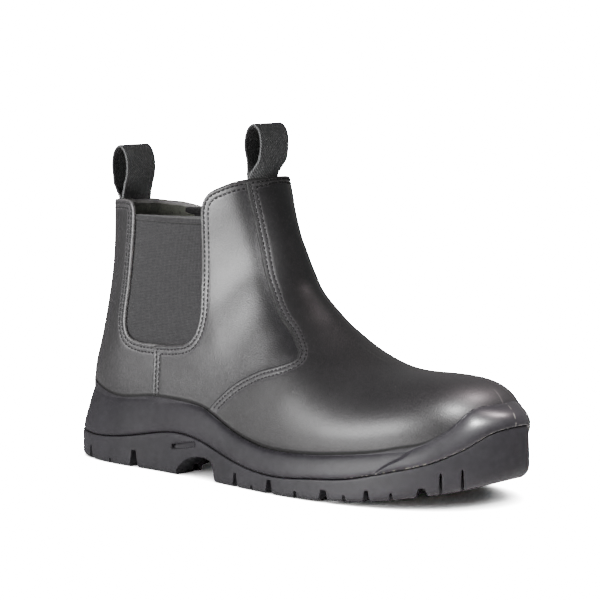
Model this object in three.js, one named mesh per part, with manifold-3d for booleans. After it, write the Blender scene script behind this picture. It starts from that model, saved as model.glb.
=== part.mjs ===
import * as THREE from 'three';
import Module from 'manifold-3d';

// Side gore work boot, right foot. Millimetres, +X toe, +Y inner side, +Z up, floor at z = 0.
const wasm = await Module();
wasm.setup();

// Sole sizes.
const SOLE_LENGTH = 300;
const BALL_WIDTH = 108;
const HEEL_BED = 29;
const BALL_BED = 17;
const TOE_SPRING = 13;
const SPRING_START = 0.6;
const ARCH_HEIGHT = 12.8;
const BREAST_DEPTH = 14;
const BREAST_WIDTH = 90;
const BREAST_SHIFT = 25;
const BREAST_HEIGHT = 11;
const LUG_LENGTH = 15;
const CHANNEL_WIDTH = 4;
const CHANNEL_DEPTH = 4;
const LIP = 3;
const RIM = 7;
const BUMPER_STEP = 0.9;

// Upper sizes.
const FRONT_COLLAR = 168;
const BACK_COLLAR = 150;
const WALL = 1.8;
const QUARTER_LEATHER = 1;
const VAMP_LEATHER = 1.8;
const GORE_THICKNESS = 1.4;
const GORE_LAP = 6;
const GORE_REAR = 0.1665;
const GORE_WIDTH = 56;
const GORE_HEIGHT = 73.5;
const GORE_BOTTOM = 71.3;
const SEAM_REAR = 0.243;
const LASTING_MARGIN = 14;
const LEATHER_TUCK = 4;
const INSOLE_THICKNESS = 4.5;

// Pull loops: webbing sewn inside the collar and standing over it.
const WEBBING_WIDTH = 24;
const WEBBING_THICKNESS = 1.5;
const FRONT_LOOP_RISE = 29.5;
const BACK_LOOP_RISE = 32;
const LOOP_DEPTH = 11.5;
const LOOP_DROP = 18;
const COLLAR_BEND = 18;
const FRONT_LEAN = 0.2;
const BACK_LEAN = 0.03;

// Air between pieces that meet.
const GAP = 0.3;

// Facets.
const SECTIONS = 25;
const AROUND = 20;
const SOLE_STATIONS = 24;
const LOOP_STEPS = 18;

const soleHalf = BALL_WIDTH / 2;
const lastHalf = soleHalf - RIM;
const frontRise = FRONT_COLLAR - BALL_BED;
const backRise = BACK_COLLAR - HEEL_BED;
const quarterOuter = GAP + QUARTER_LEATHER;
const vampOuter = GAP + VAMP_LEATHER;

// Outline of the sole: share of its length, and share of half the ball width to either side.
const OUTLINE = [
  { at: 0.0, outer: 0.0, inner: 0.0 },
  { at: 0.01, outer: 0.29, inner: 0.29 },
  { at: 0.035, outer: 0.5, inner: 0.48 },
  { at: 0.08, outer: 0.63, inner: 0.61 },
  { at: 0.15, outer: 0.71, inner: 0.68 },
  { at: 0.27, outer: 0.74, inner: 0.68 },
  { at: 0.4, outer: 0.82, inner: 0.7 },
  { at: 0.5, outer: 0.91, inner: 0.78 },
  { at: 0.6, outer: 0.985, inner: 0.92 },
  { at: 0.66, outer: 1.0, inner: 0.985 },
  { at: 0.74, outer: 0.98, inner: 1.0 },
  { at: 0.82, outer: 0.9, inner: 0.93 },
  { at: 0.9, outer: 0.72, inner: 0.79 },
  { at: 0.96, outer: 0.45, inner: 0.57 },
  { at: 0.99, outer: 0.17, inner: 0.36 },
  { at: 1.0, outer: -0.1, inner: 0.1 },
];

// Side of the sole, in millimetres over the curved tread: base under the cup, parting line, top
// edge on either side, how far the top edge leans in, and how far the tread's edge is rounded.
// Curl is the power with which the lean grows up the side.
const SIDE = [
  { at: 0.0, base: 12, part: 16, outer: 47, inner: 47, lean: 9, curl: 1.1, edge: 3.5 },
  { at: 0.04, base: 12, part: 15.3, outer: 45.5, inner: 45.5, lean: 8.5, curl: 1.1, edge: 3.2 },
  { at: 0.08, base: 12, part: 14.8, outer: 42.8, inner: 42.8, lean: 7, curl: 1.1, edge: 2.6 },
  { at: 0.14, base: 12, part: 15.6, outer: 39, inner: 39.4, lean: 5.5, curl: 1.2, edge: 2 },
  { at: 0.19, base: 13, part: 17.5, outer: 39.6, inner: 40, lean: 5, curl: 1.3, edge: 2 },
  { at: 0.25, base: 15, part: 20.8, outer: 41.8, inner: 42, lean: 4.5, curl: 1.4, edge: 2 },
  { at: 0.31, base: 17, part: 23.5, outer: 41.8, inner: 42.5, lean: 4.2, curl: 1.6, edge: 2 },
  { at: 0.37, base: 17, part: 22.8, outer: 40.3, inner: 42, lean: 4, curl: 1.8, edge: 2 },
  { at: 0.41, base: 16, part: 20.2, outer: 36.8, inner: 39.5, lean: 3.8, curl: 2, edge: 2 },
  { at: 0.45, base: 13.5, part: 16.7, outer: 31.7, inner: 35.5, lean: 3.5, curl: 2, edge: 2 },
  { at: 0.5, base: 10.5, part: 12.9, outer: 27, inner: 30.5, lean: 3.2, curl: 2, edge: 2 },
  { at: 0.56, base: 9, part: 10.3, outer: 23.8, inner: 26, lean: 3, curl: 2, edge: 2 },
  { at: 0.62, base: 8.5, part: 10, outer: 23.4, inner: 24.2, lean: 3, curl: 2, edge: 2 },
  { at: 0.69, base: 8.5, part: 11.2, outer: 23.9, inner: 24, lean: 3, curl: 2, edge: 2 },
  { at: 0.76, base: 8.5, part: 11.8, outer: 24.8, inner: 24.8, lean: 3, curl: 2, edge: 2 },
  { at: 0.82, base: 8.5, part: 13.9, outer: 25.6, inner: 25.6, lean: 3, curl: 2, edge: 2.5 },
  { at: 0.865, base: 8.5, part: 15.6, outer: 26.9, inner: 26.9, lean: 3.2, curl: 2, edge: 3 },
  { at: 0.895, base: 8.5, part: 16.6, outer: 27.8, inner: 27.8, lean: 3.6, curl: 2, edge: 3.5 },
  { at: 0.92, base: 8.5, part: 18.1, outer: 31, inner: 31, lean: 4, curl: 2, edge: 4 },
  { at: 0.945, base: 8.5, part: 20.7, outer: 36, inner: 36, lean: 5, curl: 2, edge: 4.5 },
  { at: 0.965, base: 8.5, part: 23.6, outer: 41, inner: 41, lean: 7.5, curl: 2, edge: 5 },
  { at: 0.985, base: 8.5, part: 28, outer: 42, inner: 42, lean: 10, curl: 1.9, edge: 6 },
  { at: 1.0, base: 8.5, part: 29.5, outer: 41, inner: 41, lean: 11.5, curl: 1.8, edge: 6 },
];

// Bed of the foot, as a share of the rise from ball to heel.
const BED = [
  { at: 0.0, rise: 1.0 },
  { at: 0.15, rise: 0.98 },
  { at: 0.3, rise: 0.78 },
  { at: 0.45, rise: 0.28 },
  { at: 0.58, rise: 0.03 },
  { at: 0.68, rise: 0.0 },
  { at: 0.8, rise: 0.0 },
  { at: 1.0, rise: 0.08 },
];

// Sections of the upper from toe to collar. Each lies in a plane across the boot, from a rear or
// bottom point to a top or front point. Lengths are shares of the sole's length. Rear heights are
// shares of the back collar's rise over the bed, top heights of the front collar's rise. Widths
// are shares of half the last's ball width, measured from a middle that swings to the inner side.
const UPPER = [
  {
    rear: 0.962, rearZ: 0.11, top: 0.962, topZ: 0.16,
    outer: 0, inner: 0, mid: 0.12, wide: 0.45, low: 2, high: 2,
  },
  {
    rear: 0.958, rearZ: 0.05, top: 0.958, topZ: 0.216,
    outer: 0.28, inner: 0.28, mid: 0.12, wide: 0.45, low: 2.2, high: 2.1,
  },
  {
    rear: 0.946, rearZ: 0.015, top: 0.946, topZ: 0.262,
    outer: 0.5, inner: 0.5, mid: 0.11, wide: 0.42, low: 2.6, high: 2.2,
  },
  {
    rear: 0.92, rearZ: 0.0, top: 0.92, topZ: 0.297,
    outer: 0.68, inner: 0.67, mid: 0.09, wide: 0.4, low: 3, high: 2.3,
  },
  {
    rear: 0.88, rearZ: 0.0, top: 0.88, topZ: 0.314,
    outer: 0.82, inner: 0.81, mid: 0.06, wide: 0.38, low: 3.5, high: 2.3,
  },
  {
    rear: 0.82, rearZ: 0.0, top: 0.82, topZ: 0.317,
    outer: 0.93, inner: 0.93, mid: 0.04, wide: 0.35, low: 4, high: 2.2,
  },
  {
    rear: 0.74, rearZ: 0.0, top: 0.733, topZ: 0.328,
    outer: 0.99, inner: 0.99, mid: 0.02, wide: 0.32, low: 4.5, high: 2.05,
  },
  {
    rear: 0.657, rearZ: 0.0, top: 0.64, topZ: 0.405,
    outer: 1.0, inner: 0.96, mid: 0.01, wide: 0.27, low: 5, high: 1.9,
  },
  {
    rear: 0.567, rearZ: 0.0, top: 0.574, topZ: 0.515,
    outer: 0.95, inner: 0.88, mid: 0.01, wide: 0.22, low: 5, high: 1.8,
  },
  {
    rear: 0.473, rearZ: 0.0, top: 0.537, topZ: 0.594,
    outer: 0.86, inner: 0.77, mid: 0.01, wide: 0.2, low: 5, high: 1.85,
  },
  {
    rear: 0.373, rearZ: 0.0, top: 0.5235, topZ: 0.65,
    outer: 0.78, inner: 0.71, mid: 0.01, wide: 0.2, low: 5, high: 1.95,
  },
  {
    rear: 0.26, rearZ: 0.0, top: 0.5135, topZ: 0.697,
    outer: 0.73, inner: 0.69, mid: 0.0, wide: 0.21, low: 5, high: 2.1,
  },
  {
    rear: 0.147, rearZ: 0.0, top: 0.5055, topZ: 0.735,
    outer: 0.7, inner: 0.68, mid: 0.0, wide: 0.23, low: 4.4, high: 2.2,
  },
  {
    rear: 0.06, rearZ: 0.02, top: 0.4985, topZ: 0.762,
    outer: 0.69, inner: 0.68, mid: 0.0, wide: 0.27, low: 3, high: 2.25,
  },
  {
    rear: 0.025, rearZ: 0.115, top: 0.491, topZ: 0.795,
    outer: 0.68, inner: 0.68, mid: 0.0, wide: 0.31, low: 2.4, high: 2.25,
  },
  {
    rear: 0.032, rearZ: 0.255, top: 0.483, topZ: 0.837,
    outer: 0.67, inner: 0.67, mid: 0.0, wide: 0.36, low: 2.3, high: 2.25,
  },
  {
    rear: 0.048, rearZ: 0.43, top: 0.4735, topZ: 0.886,
    outer: 0.67, inner: 0.67, mid: 0.0, wide: 0.41, low: 2.25, high: 2.25,
  },
  {
    rear: 0.064, rearZ: 0.62, top: 0.466, topZ: 0.928,
    outer: 0.68, inner: 0.68, mid: 0.0, wide: 0.44, low: 2.25, high: 2.25,
  },
  {
    rear: 0.073, rearZ: 0.81, top: 0.459, topZ: 0.967,
    outer: 0.69, inner: 0.69, mid: 0.0, wide: 0.46, low: 2.25, high: 2.25,
  },
  {
    rear: 0.075, rearZ: 1.01, top: 0.453, topZ: 1.01,
    outer: 0.7, inner: 0.7, mid: 0.0, wide: 0.47, low: 2.25, high: 2.25,
  },
  {
    rear: 0.075, rearZ: 1.2, top: 0.45, topZ: 1.05,
    outer: 0.71, inner: 0.71, mid: 0.0, wide: 0.47, low: 2.25, high: 2.25,
  },
];

// Edge of the leather at the collar, behind and ahead of the gore: share of the sole's length,
// and height on either side as a share of the front collar's.
const BACK_EDGE = [
  { at: 0.0, outer: 0.893, inner: 0.893 },
  { at: 0.08, outer: 0.898, inner: 0.893 },
  { at: 0.115, outer: 0.903, inner: 0.884 },
  { at: 0.14, outer: 0.907, inner: 0.88 },
  { at: 0.165, outer: 0.908, inner: 0.871 },
  { at: 0.178, outer: 0.904, inner: 0.865 },
  { at: 0.186, outer: 0.885, inner: 0.8635 },
];
const FRONT_EDGE = [
  { at: 0.355, outer: 0.9, inner: 0.9 },
  { at: 0.361, outer: 0.928, inner: 0.928 },
  { at: 0.372, outer: 0.95, inner: 0.95 },
  { at: 0.39, outer: 0.967, inner: 0.967 },
  { at: 0.42, outer: 0.989, inner: 0.989 },
  { at: 0.46, outer: 1.002, inner: 1.002 },
  { at: 0.6, outer: 1.03, inner: 1.03 },
];

// Opening for the gore, from the back of its top round the bottom to the front of its top:
// shares of its width and of its height.
const GORE = [
  { across: 0.11, up: 1.0 },
  { across: 0.065, up: 0.68 },
  { across: 0.02, up: 0.43 },
  { across: -0.025, up: 0.2 },
  { across: -0.015, up: 0.11 },
  { across: 0.04, up: 0.04 },
  { across: 0.15, up: 0.008 },
  { across: 0.4, up: 0.0 },
  { across: 0.72, up: 0.012 },
  { across: 0.88, up: 0.045 },
  { across: 0.965, up: 0.12 },
  { across: 1.0, up: 0.24 },
  { across: 0.99, up: 0.46 },
  { across: 0.995, up: 0.72 },
  { across: 1.0, up: 1.0 },
];

// Rear edge of the vamp, from the collar down to the sole: share of the sole's length, and
// height as a share of the front collar's.
const VAMP_EDGE = [
  { at: 0.4215, z: 1.06 },
  { at: 0.433, z: 0.968 },
  { at: 0.4455, z: 0.875 },
  { at: 0.4605, z: 0.775 },
  { at: 0.4805, z: 0.68 },
  { at: 0.4975, z: 0.623 },
  { at: 0.5125, z: 0.58 },
  { at: 0.5345, z: 0.536 },
  { at: 0.5605, z: 0.497 },
  { at: 0.579, z: 0.465 },
  { at: 0.593, z: 0.439 },
  { at: 0.5935, z: 0.424 },
  { at: 0.5835, z: 0.413 },
  { at: 0.558, z: 0.398 },
  { at: 0.53, z: 0.384 },
  { at: 0.5, z: 0.3625 },
  { at: 0.468, z: 0.334 },
  { at: 0.443, z: 0.3035 },
  { at: 0.4185, z: 0.269 },
  { at: 0.396, z: 0.23 },
  { at: 0.371, z: 0.17 },
  { at: 0.346, z: 0.08 },
];

// Rear edge of the toe bumper in side view: share of the sole's length, and height.
const BUMPER = [
  { at: 0.8, z: -20 },
  { at: 0.8, z: 12 },
  { at: 0.822, z: 19.4 },
  { at: 0.867, z: 28.1 },
  { at: 0.881, z: 32 },
  { at: 0.9, z: 38 },
  { at: 0.91, z: 60 },
];

// Arch under the waist in side view: share of the sole's length, and share of its height.
const ARCH = [
  { at: 0.322, up: -0.4 },
  { at: 0.327, up: 0.25 },
  { at: 0.343, up: 0.62 },
  { at: 0.366, up: 0.88 },
  { at: 0.393, up: 1.0 },
  { at: 0.416, up: 0.95 },
  { at: 0.427, up: 0.8 },
  { at: 0.434, up: 0.1 },
  { at: 0.437, up: -0.4 },
];

// Grooves in from the edge of the tread, on both sides: place, width, height up the side, and
// reach towards the middle.
const NOTCHES = [
  { at: 0.078, width: 4, height: 8, reach: 26 },
  { at: 0.143, width: 2.5, height: 3, reach: 4 },
  { at: 0.209, width: 6.5, height: 10, reach: 30 },
  { at: 0.494, width: 4, height: 8, reach: 34 },
  { at: 0.54, width: 2.5, height: 3, reach: 4 },
  { at: 0.587, width: 5.5, height: 8, reach: 38 },
  { at: 0.652, width: 3, height: 4, reach: 5 },
  { at: 0.716, width: 6.5, height: 6, reach: 40 },
  { at: 0.76, width: 2.5, height: 3.5, reach: 5 },
  { at: 0.804, width: 4, height: 6, reach: 36 },
  { at: 0.849, width: 2.5, height: 4, reach: 5 },
  { at: 0.9, width: 7, height: 5, reach: 28 },
  { at: 0.926, width: 2, height: 12, reach: 5 },
  { at: 0.956, width: 2, height: 12, reach: 5 },
];

function along(share) {
  return (share - 0.5) * SOLE_LENGTH;
}

function shareAt(x) {
  return x / SOLE_LENGTH + 0.5;
}

// Natural cubic spline through values at rising places.
function spline(places, values) {
  const n = places.length;
  const bend = new Array(n).fill(0);
  const diagonal = new Array(n).fill(1);
  const target = new Array(n).fill(0);
  for (let i = 1; i < n - 1; i += 1) {
    const before = places[i] - places[i - 1];
    const after = places[i + 1] - places[i];
    const carried = i > 1 ? before / diagonal[i - 1] : 0;
    diagonal[i] = 2 * (before + after) - carried * before;
    const turn = (values[i + 1] - values[i]) / after - (values[i] - values[i - 1]) / before;
    target[i] = 6 * turn - carried * target[i - 1];
  }
  for (let i = n - 2; i > 0; i -= 1) {
    bend[i] = (target[i] - (places[i + 1] - places[i]) * bend[i + 1]) / diagonal[i];
  }
  return (place) => {
    let i = 0;
    while (i < n - 2 && place > places[i + 1]) i += 1;
    const h = places[i + 1] - places[i];
    const a = (places[i + 1] - place) / h;
    const b = 1 - a;
    const curved = ((a ** 3 - a) * bend[i] + (b ** 3 - b) * bend[i + 1]) * h * h;
    return a * values[i] + b * values[i + 1] + curved / 6;
  };
}

// One spline for each named column of a table, over a column or over the row numbers.
function splines(table, over) {
  const places = table.map((row, i) => (over ? row[over] : i));
  const found = {};
  Object.keys(table[0]).forEach((column) => {
    found[column] = spline(places, table.map((row) => row[column]));
  });
  return found;
}

const sideAt = splines(SIDE, 'at');
const bedAt = splines(BED, 'at');
const upperAt = splines(UPPER);

function ground(x) {
  const past = Math.max(0, shareAt(x) - SPRING_START) / (1 - SPRING_START);
  return TOE_SPRING * past * past;
}

function bed(x) {
  return BALL_BED + (HEEL_BED - BALL_BED) * bedAt.rise(shareAt(x)) + ground(x);
}

function sideHeight(column, x) {
  return sideAt[column](shareAt(x)) + ground(x);
}

function solidOf(points, faces) {
  const mesh = new wasm.Mesh({
    numProp: 3,
    vertProperties: new Float32Array(points.flat()),
    triVerts: new Uint32Array(faces.flat()),
  });
  return new wasm.Manifold(mesh);
}

// Solid of a closed THREE geometry, with its shared corners welded.
function welded(geometry) {
  const place = geometry.attributes.position;
  const order = geometry.index ? geometry.index.array : null;
  const points = [];
  const faces = [];
  const numbers = new Map();
  const corner = (i) => {
    const at = order ? order[i] : i;
    const point = [place.getX(at), place.getY(at), place.getZ(at)];
    const key = point.map((value) => value.toFixed(4)).join(' ');
    if (!numbers.has(key)) {
      numbers.set(key, points.length);
      points.push(point);
    }
    return numbers.get(key);
  };
  const count = order ? order.length : place.count;
  for (let i = 0; i < count; i += 3) {
    const face = [corner(i), corner(i + 1), corner(i + 2)];
    if (new Set(face).size === 3) faces.push(face);
  }
  return solidOf(points, faces);
}

// Prism through the boot from one y to another, from a shape drawn in side view.
function sidePrism(shape, fromY, toY) {
  const settings = { depth: toY - fromY, bevelEnabled: false, curveSegments: 8 };
  const geometry = new THREE.ExtrudeGeometry(shape, settings);
  geometry.rotateX(Math.PI / 2);
  geometry.translate(0, toY, 0);
  return welded(geometry);
}

function shapeOf(pairs) {
  return new THREE.Shape(pairs.map(([x, y]) => new THREE.Vector2(x, y)));
}

function meshOf(name, solid, look) {
  const out = solid.getMesh();
  const geometry = new THREE.BufferGeometry();
  geometry.setAttribute('position', new THREE.BufferAttribute(new Float32Array(out.vertProperties), 3));
  geometry.setIndex(new THREE.BufferAttribute(new Uint32Array(out.triVerts), 1));
  geometry.computeVertexNormals();
  const mesh = new THREE.Mesh(geometry, new THREE.MeshStandardMaterial(look));
  mesh.name = name;
  return mesh;
}

// Points round the sole, outer side from heel to toe and back along the inner side.
function planRing() {
  const outerSide = OUTLINE.map((row) => [along(row.at), -row.outer * soleHalf]);
  const innerSide = OUTLINE.slice(1, -1).map((row) => [along(row.at), row.inner * soleHalf]);
  const knots = [...outerSide, ...innerSide.reverse()].map(([x, y]) => new THREE.Vector3(x, y, 0));
  const fine = new THREE.CatmullRomCurve3(knots, true, 'centripetal').getPoints(1600).slice(0, -1);
  const toe = fine.reduce((best, point, i) => (point.x > fine[best].x ? i : best), 0);
  const heel = fine.reduce((best, point, i) => (point.x < fine[best].x ? i : best), 0);
  const turned = [...fine.slice(heel), ...fine.slice(0, heel)];
  const toeAt = (toe - heel + fine.length) % fine.length;
  const outer = turned.slice(0, toeAt + 1);
  const inner = [turned[0], ...turned.slice(toeAt).reverse()];
  const crossing = (side, x) => {
    const next = Math.max(1, side.findIndex((point) => point.x >= x));
    const share = (x - side[next - 1].x) / (side[next].x - side[next - 1].x);
    return side[next - 1].y + share * (side[next].y - side[next - 1].y);
  };
  const ring = [];
  const length = turned[toeAt].x - turned[0].x;
  const stationAt = (i) => turned[0].x + (length * (1 - Math.cos((Math.PI * i) / SOLE_STATIONS))) / 2;
  ring.push({ x: turned[0].x, y: turned[0].y, side: 'outer' });
  for (let i = 1; i < SOLE_STATIONS; i += 1) {
    ring.push({ x: stationAt(i), y: crossing(outer, stationAt(i)), side: 'outer' });
  }
  ring.push({ x: turned[toeAt].x, y: turned[toeAt].y, side: 'outer' });
  for (let i = SOLE_STATIONS - 1; i > 0; i -= 1) {
    ring.push({ x: stationAt(i), y: crossing(inner, stationAt(i)), side: 'inner' });
  }
  return ring;
}

const plan = planRing();
const planNormals = plan.map((point, i) => {
  const before = plan[(i + plan.length - 1) % plan.length];
  const after = plan[(i + 1) % plan.length];
  return new THREE.Vector2(after.y - before.y, before.x - after.x).normalize();
});

// Rings stacked up the sole, closed by strips across the bottom and the top. Each level gives
// its inset from the outline and its height at a point of the plan.
function soleBody(levels) {
  const points = [];
  const faces = [];
  const count = plan.length;
  levels.forEach(({ inset, height }) => {
    plan.forEach((point, i) => {
      const x = point.x - planNormals[i].x * inset(point);
      const y = point.y - planNormals[i].y * inset(point);
      points.push([x, y, height(point)]);
    });
  });
  for (let level = 0; level < levels.length - 1; level += 1) {
    for (let i = 0; i < count; i += 1) {
      const a = level * count + i;
      const b = level * count + ((i + 1) % count);
      faces.push([a, b, b + count], [a, b + count, a + count]);
    }
  }
  const top = (levels.length - 1) * count;
  for (let i = 0; i < SOLE_STATIONS; i += 1) {
    const innerA = (count - i) % count;
    const innerB = count - i - 1;
    if (i > 0) {
      faces.push([innerA, i + 1, i], [top + i, top + i + 1, top + innerA]);
    }
    if (i < SOLE_STATIONS - 1) {
      faces.push([innerA, innerB, i + 1], [top + i + 1, top + innerB, top + innerA]);
    }
  }
  return solidOf(points, faces);
}

// Point of the upper's outer face: section number u, angle up from the bottom, -1 outer side or
// 1 inner side.
function facePoint(u, angle, side) {
  const rearX = along(upperAt.rear(u));
  const rearZ = bed(rearX) + upperAt.rearZ(u) * backRise;
  const topX = along(upperAt.top(u));
  const topZ = BALL_BED + upperAt.topZ(u) * frontRise;
  const wide = upperAt.wide(u);
  const half = (side < 0 ? upperAt.outer(u) : upperAt.inner(u)) * lastHalf;
  const lower = angle < Math.PI / 2;
  const power = 2 / (lower ? upperAt.low(u) : upperAt.high(u));
  const reach = Math.abs(Math.cos(angle)) ** power;
  const up = lower ? wide * (1 - reach) : wide + (1 - wide) * reach;
  const across = side * half * Math.sin(angle) ** power;
  const middle = upperAt.mid(u) * lastHalf;
  return new THREE.Vector3(rearX + up * (topX - rearX), middle + across, rearZ + up * (topZ - rearZ));
}

// Closed form of the upper, moved out from its face by some distance and closed past the collar.
const lastSection = UPPER.length - 1;

function form(offset) {
  const half = AROUND / 2;
  const step = 0.02;
  const place = (i, j) => {
    const u = (i * lastSection) / SECTIONS;
    const side = j <= half ? -1 : 1;
    const angle = (Math.PI * (j <= half ? j : AROUND - j)) / half;
    const point = facePoint(u, angle, side);
    const onEdge = j === 0 || j === half;
    const alongFace = facePoint(Math.min(u + step, lastSection), angle, side)
      .sub(facePoint(Math.max(u - step, 0), angle, side));
    const roundFace = onEdge
      ? new THREE.Vector3(0, j === 0 ? -1 : 1, 0)
      : facePoint(u, Math.min(angle + step, Math.PI), side)
        .sub(facePoint(u, Math.max(angle - step, 0), side)).multiplyScalar(-side);
    const normal = roundFace.cross(alongFace).normalize();
    return point.addScaledVector(normal, offset);
  };
  const tip = facePoint(0, 0, -1);
  const points = [[tip.x + offset, tip.y, tip.z]];
  const faces = [];
  for (let i = 1; i <= SECTIONS; i += 1) {
    for (let j = 0; j < AROUND; j += 1) points.push(place(i, j).toArray());
  }
  const at = (i, j) => 1 + (i - 1) * AROUND + (j % AROUND);
  for (let j = 0; j < AROUND; j += 1) {
    faces.push([0, at(1, j + 1), at(1, j)]);
    for (let i = 1; i < SECTIONS; i += 1) {
      faces.push([at(i, j), at(i + 1, j + 1), at(i + 1, j)], [at(i, j), at(i, j + 1), at(i + 1, j + 1)]);
    }
  }
  const end = points.length;
  const sum = points.slice(-AROUND).reduce((total, p) => total.map((value, k) => value + p[k]), [0, 0, 0]);
  points.push(sum.map((value) => value / AROUND));
  for (let j = 0; j < AROUND; j += 1) faces.push([at(SECTIONS, j), at(SECTIONS, j + 1), end]);
  return solidOf(points, faces);
}

const far = SOLE_LENGTH;

function sideLine(rows, column, shift) {
  return rows.map((row) => [along(row.at) + shift, row[column] * FRONT_COLLAR]);
}

function goreLine(grow) {
  return GORE.map((row) => {
    const middle = row.across < 0.5 ? -1 : 1;
    const x = along(GORE_REAR) + row.across * GORE_WIDTH + grow * middle;
    return [x, GORE_BOTTOM + row.up * GORE_HEIGHT - grow * (row.up < 0.3 ? 1 - row.up / 0.3 : 0)];
  });
}

// Everything on one side below the leather's edge, with the gore's notch, in side view.
function leatherBlockOf(side, fromY, toY) {
  const shape = shapeOf([
    [-far, -far],
    [far, -far],
    [far, FRONT_COLLAR],
    ...sideLine(FRONT_EDGE, side, 0).reverse(),
    ...goreLine(0).reverse(),
    ...sideLine(BACK_EDGE, side, 0).reverse(),
    [-far, BACK_COLLAR],
  ]);
  return sidePrism(shape, fromY, toY);
}

const leatherBlock = leatherBlockOf('outer', -far, 0).add(leatherBlockOf('inner', 0, far));

// Everything ahead of the vamp's rear edge, in side view.
function vampBlock(shift) {
  const edge = sideLine(VAMP_EDGE, 'z', shift);
  return sidePrism(shapeOf([...edge, [far, -far / 4], [far, far]]), -far, far);
}

function seamBlock(shift) {
  const seam = along(SEAM_REAR) + shift;
  return sidePrism(shapeOf([[seam, -far], [far, -far], [far, far], [seam, far]]), -far, far);
}

const wholeSide = shapeOf([[-far, -far], [far, -far], [far, far], [-far, far]]);
const outerHalf = sidePrism(wholeSide, -far, 0);
const innerHalf = sidePrism(wholeSide, 0, far);

// Column of the sole's plan up to a height over the foot's bed.
function bedColumn(inset, over) {
  return soleBody([
    { inset: () => inset, height: () => -far },
    { inset: () => inset, height: (p) => bed(p.x) + over },
  ]);
}

const face = form(0);
const cavity = form(-WALL);
const openingInset = RIM + WALL + LASTING_MARGIN;
const upper = face.subtract(cavity).intersect(leatherBlock).subtract(bedColumn(openingInset, 2 * WALL));

// Overlays, down to a tuck below the top edge of the cup.
const tucked = bedColumn(-WALL * 15, LEATHER_TUCK);
const inset = form(GAP);
const vamp = form(vampOuter).subtract(inset).intersect(leatherBlock).intersect(vampBlock(0)).subtract(tucked);
const quarters = form(quarterOuter).subtract(inset).intersect(leatherBlock)
  .intersect(seamBlock(0)).subtract(vampBlock(-GAP)).subtract(tucked);

// Elastic panels behind the leather, hemmed level across the top.
const goreBlock = sidePrism(shapeOf(goreLine(GORE_LAP)), -far, far);
const gores = form(-WALL - GAP).subtract(form(-WALL - GAP - GORE_THICKNESS)).intersect(goreBlock);

const insoleBody = form(-WALL - GAP).intersect(bedColumn(0, WALL + GAP + INSOLE_THICKNESS));
const plug = face.intersect(bedColumn(openingInset + GAP, WALL + 2 * GAP));
const insole = insoleBody.add(plug);

// Cup of the midsole, with the toe bumper standing proud of it ahead of its swept edge.
const leanBy = (share, extra) => (p) => {
  const at = shareAt(p.x);
  return sideAt.lean(at) * share ** sideAt.curl(at) + extra;
};
const riseBy = (share, extra) => (p) => {
  const part = sideHeight('part', p.x) + GAP;
  return part + (sideHeight(p.side, p.x) - part) * share + extra;
};

function cupBody(proud) {
  return soleBody([
    { inset: () => LIP + GAP, height: (p) => sideHeight('base', p.x) + GAP },
    { inset: () => LIP + GAP, height: riseBy(0, 0) },
    { inset: () => 0.8 - proud, height: riseBy(0, 0) },
    { inset: leanBy(0.25, 0.2 - proud), height: riseBy(0.25, 0) },
    { inset: leanBy(0.6, -proud), height: riseBy(0.6, 0) },
    { inset: leanBy(0.85, 0.1 - proud), height: riseBy(0.85, 0) },
    { inset: leanBy(1, 0.5 - proud), height: riseBy(1, 0) },
    { inset: leanBy(1, 6), height: riseBy(1, 0) },
  ]);
}

const bumperShape = shapeOf([
  ...BUMPER.map((row) => [along(row.at), row.z]), [far, 60], [far, -20],
]);
const bumper = cupBody(BUMPER_STEP).intersect(sidePrism(bumperShape, -far, far));
const underTuck = bedColumn(-WALL * 15, LEATHER_TUCK - GAP);
const socket = inset
  .add(form(quarterOuter + GAP).intersect(seamBlock(-GAP)).subtract(underTuck))
  .add(form(vampOuter + GAP).intersect(vampBlock(-GAP)).subtract(underTuck));
const midsole = cupBody(0).add(bumper).subtract(socket);

// Tread: side notches, a channel round the middle lugs, and the arch.
const edgeBy = (share) => (p) => sideAt.edge(shareAt(p.x)) * share;
const block = soleBody([
  { inset: edgeBy(1), height: (p) => ground(p.x) },
  { inset: edgeBy(0.35), height: (p) => ground(p.x) + edgeBy(0.4)(p) },
  { inset: () => 0, height: (p) => ground(p.x) + edgeBy(1)(p) },
  { inset: () => 0, height: (p) => sideHeight('part', p.x) },
  { inset: () => LIP, height: (p) => sideHeight('part', p.x) },
  { inset: () => LIP, height: (p) => sideHeight('base', p.x) },
]);

function channelColumn(edge) {
  return soleBody([
    { inset: () => edge, height: () => -far },
    { inset: () => edge, height: (p) => ground(p.x) + CHANNEL_DEPTH },
  ]);
}

function notch(row, side) {
  const x = along(row.at);
  const near = plan.reduce((best, p, i) => {
    const apart = p.side === side ? Math.abs(p.x - x) : far;
    return apart < best.apart ? { apart, i } : best;
  }, { apart: far, i: 0 });
  const point = plan[near.i];
  const normal = planNormals[near.i];
  const box = new THREE.BoxGeometry(row.reach + 8, row.width, far);
  box.translate(4 - row.reach / 2, 0, -far / 2);
  box.rotateZ(Math.atan2(normal.y, normal.x));
  const slide = (x - point.x) / Math.max(0.3, Math.abs(normal.y));
  box.translate(point.x - normal.y * slide * Math.sign(-normal.y), point.y, ground(x) + row.height);
  return welded(box);
}

const arch = sidePrism(shapeOf(ARCH.map((row) => [along(row.at), row.up * ARCH_HEIGHT])), -far, far);
let outsole = block.subtract(channelColumn(LUG_LENGTH).subtract(channelColumn(LUG_LENGTH + CHANNEL_WIDTH)));
NOTCHES.forEach((row) => {
  outsole = outsole.subtract(notch(row, 'outer')).subtract(notch(row, 'inner'));
});
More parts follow.
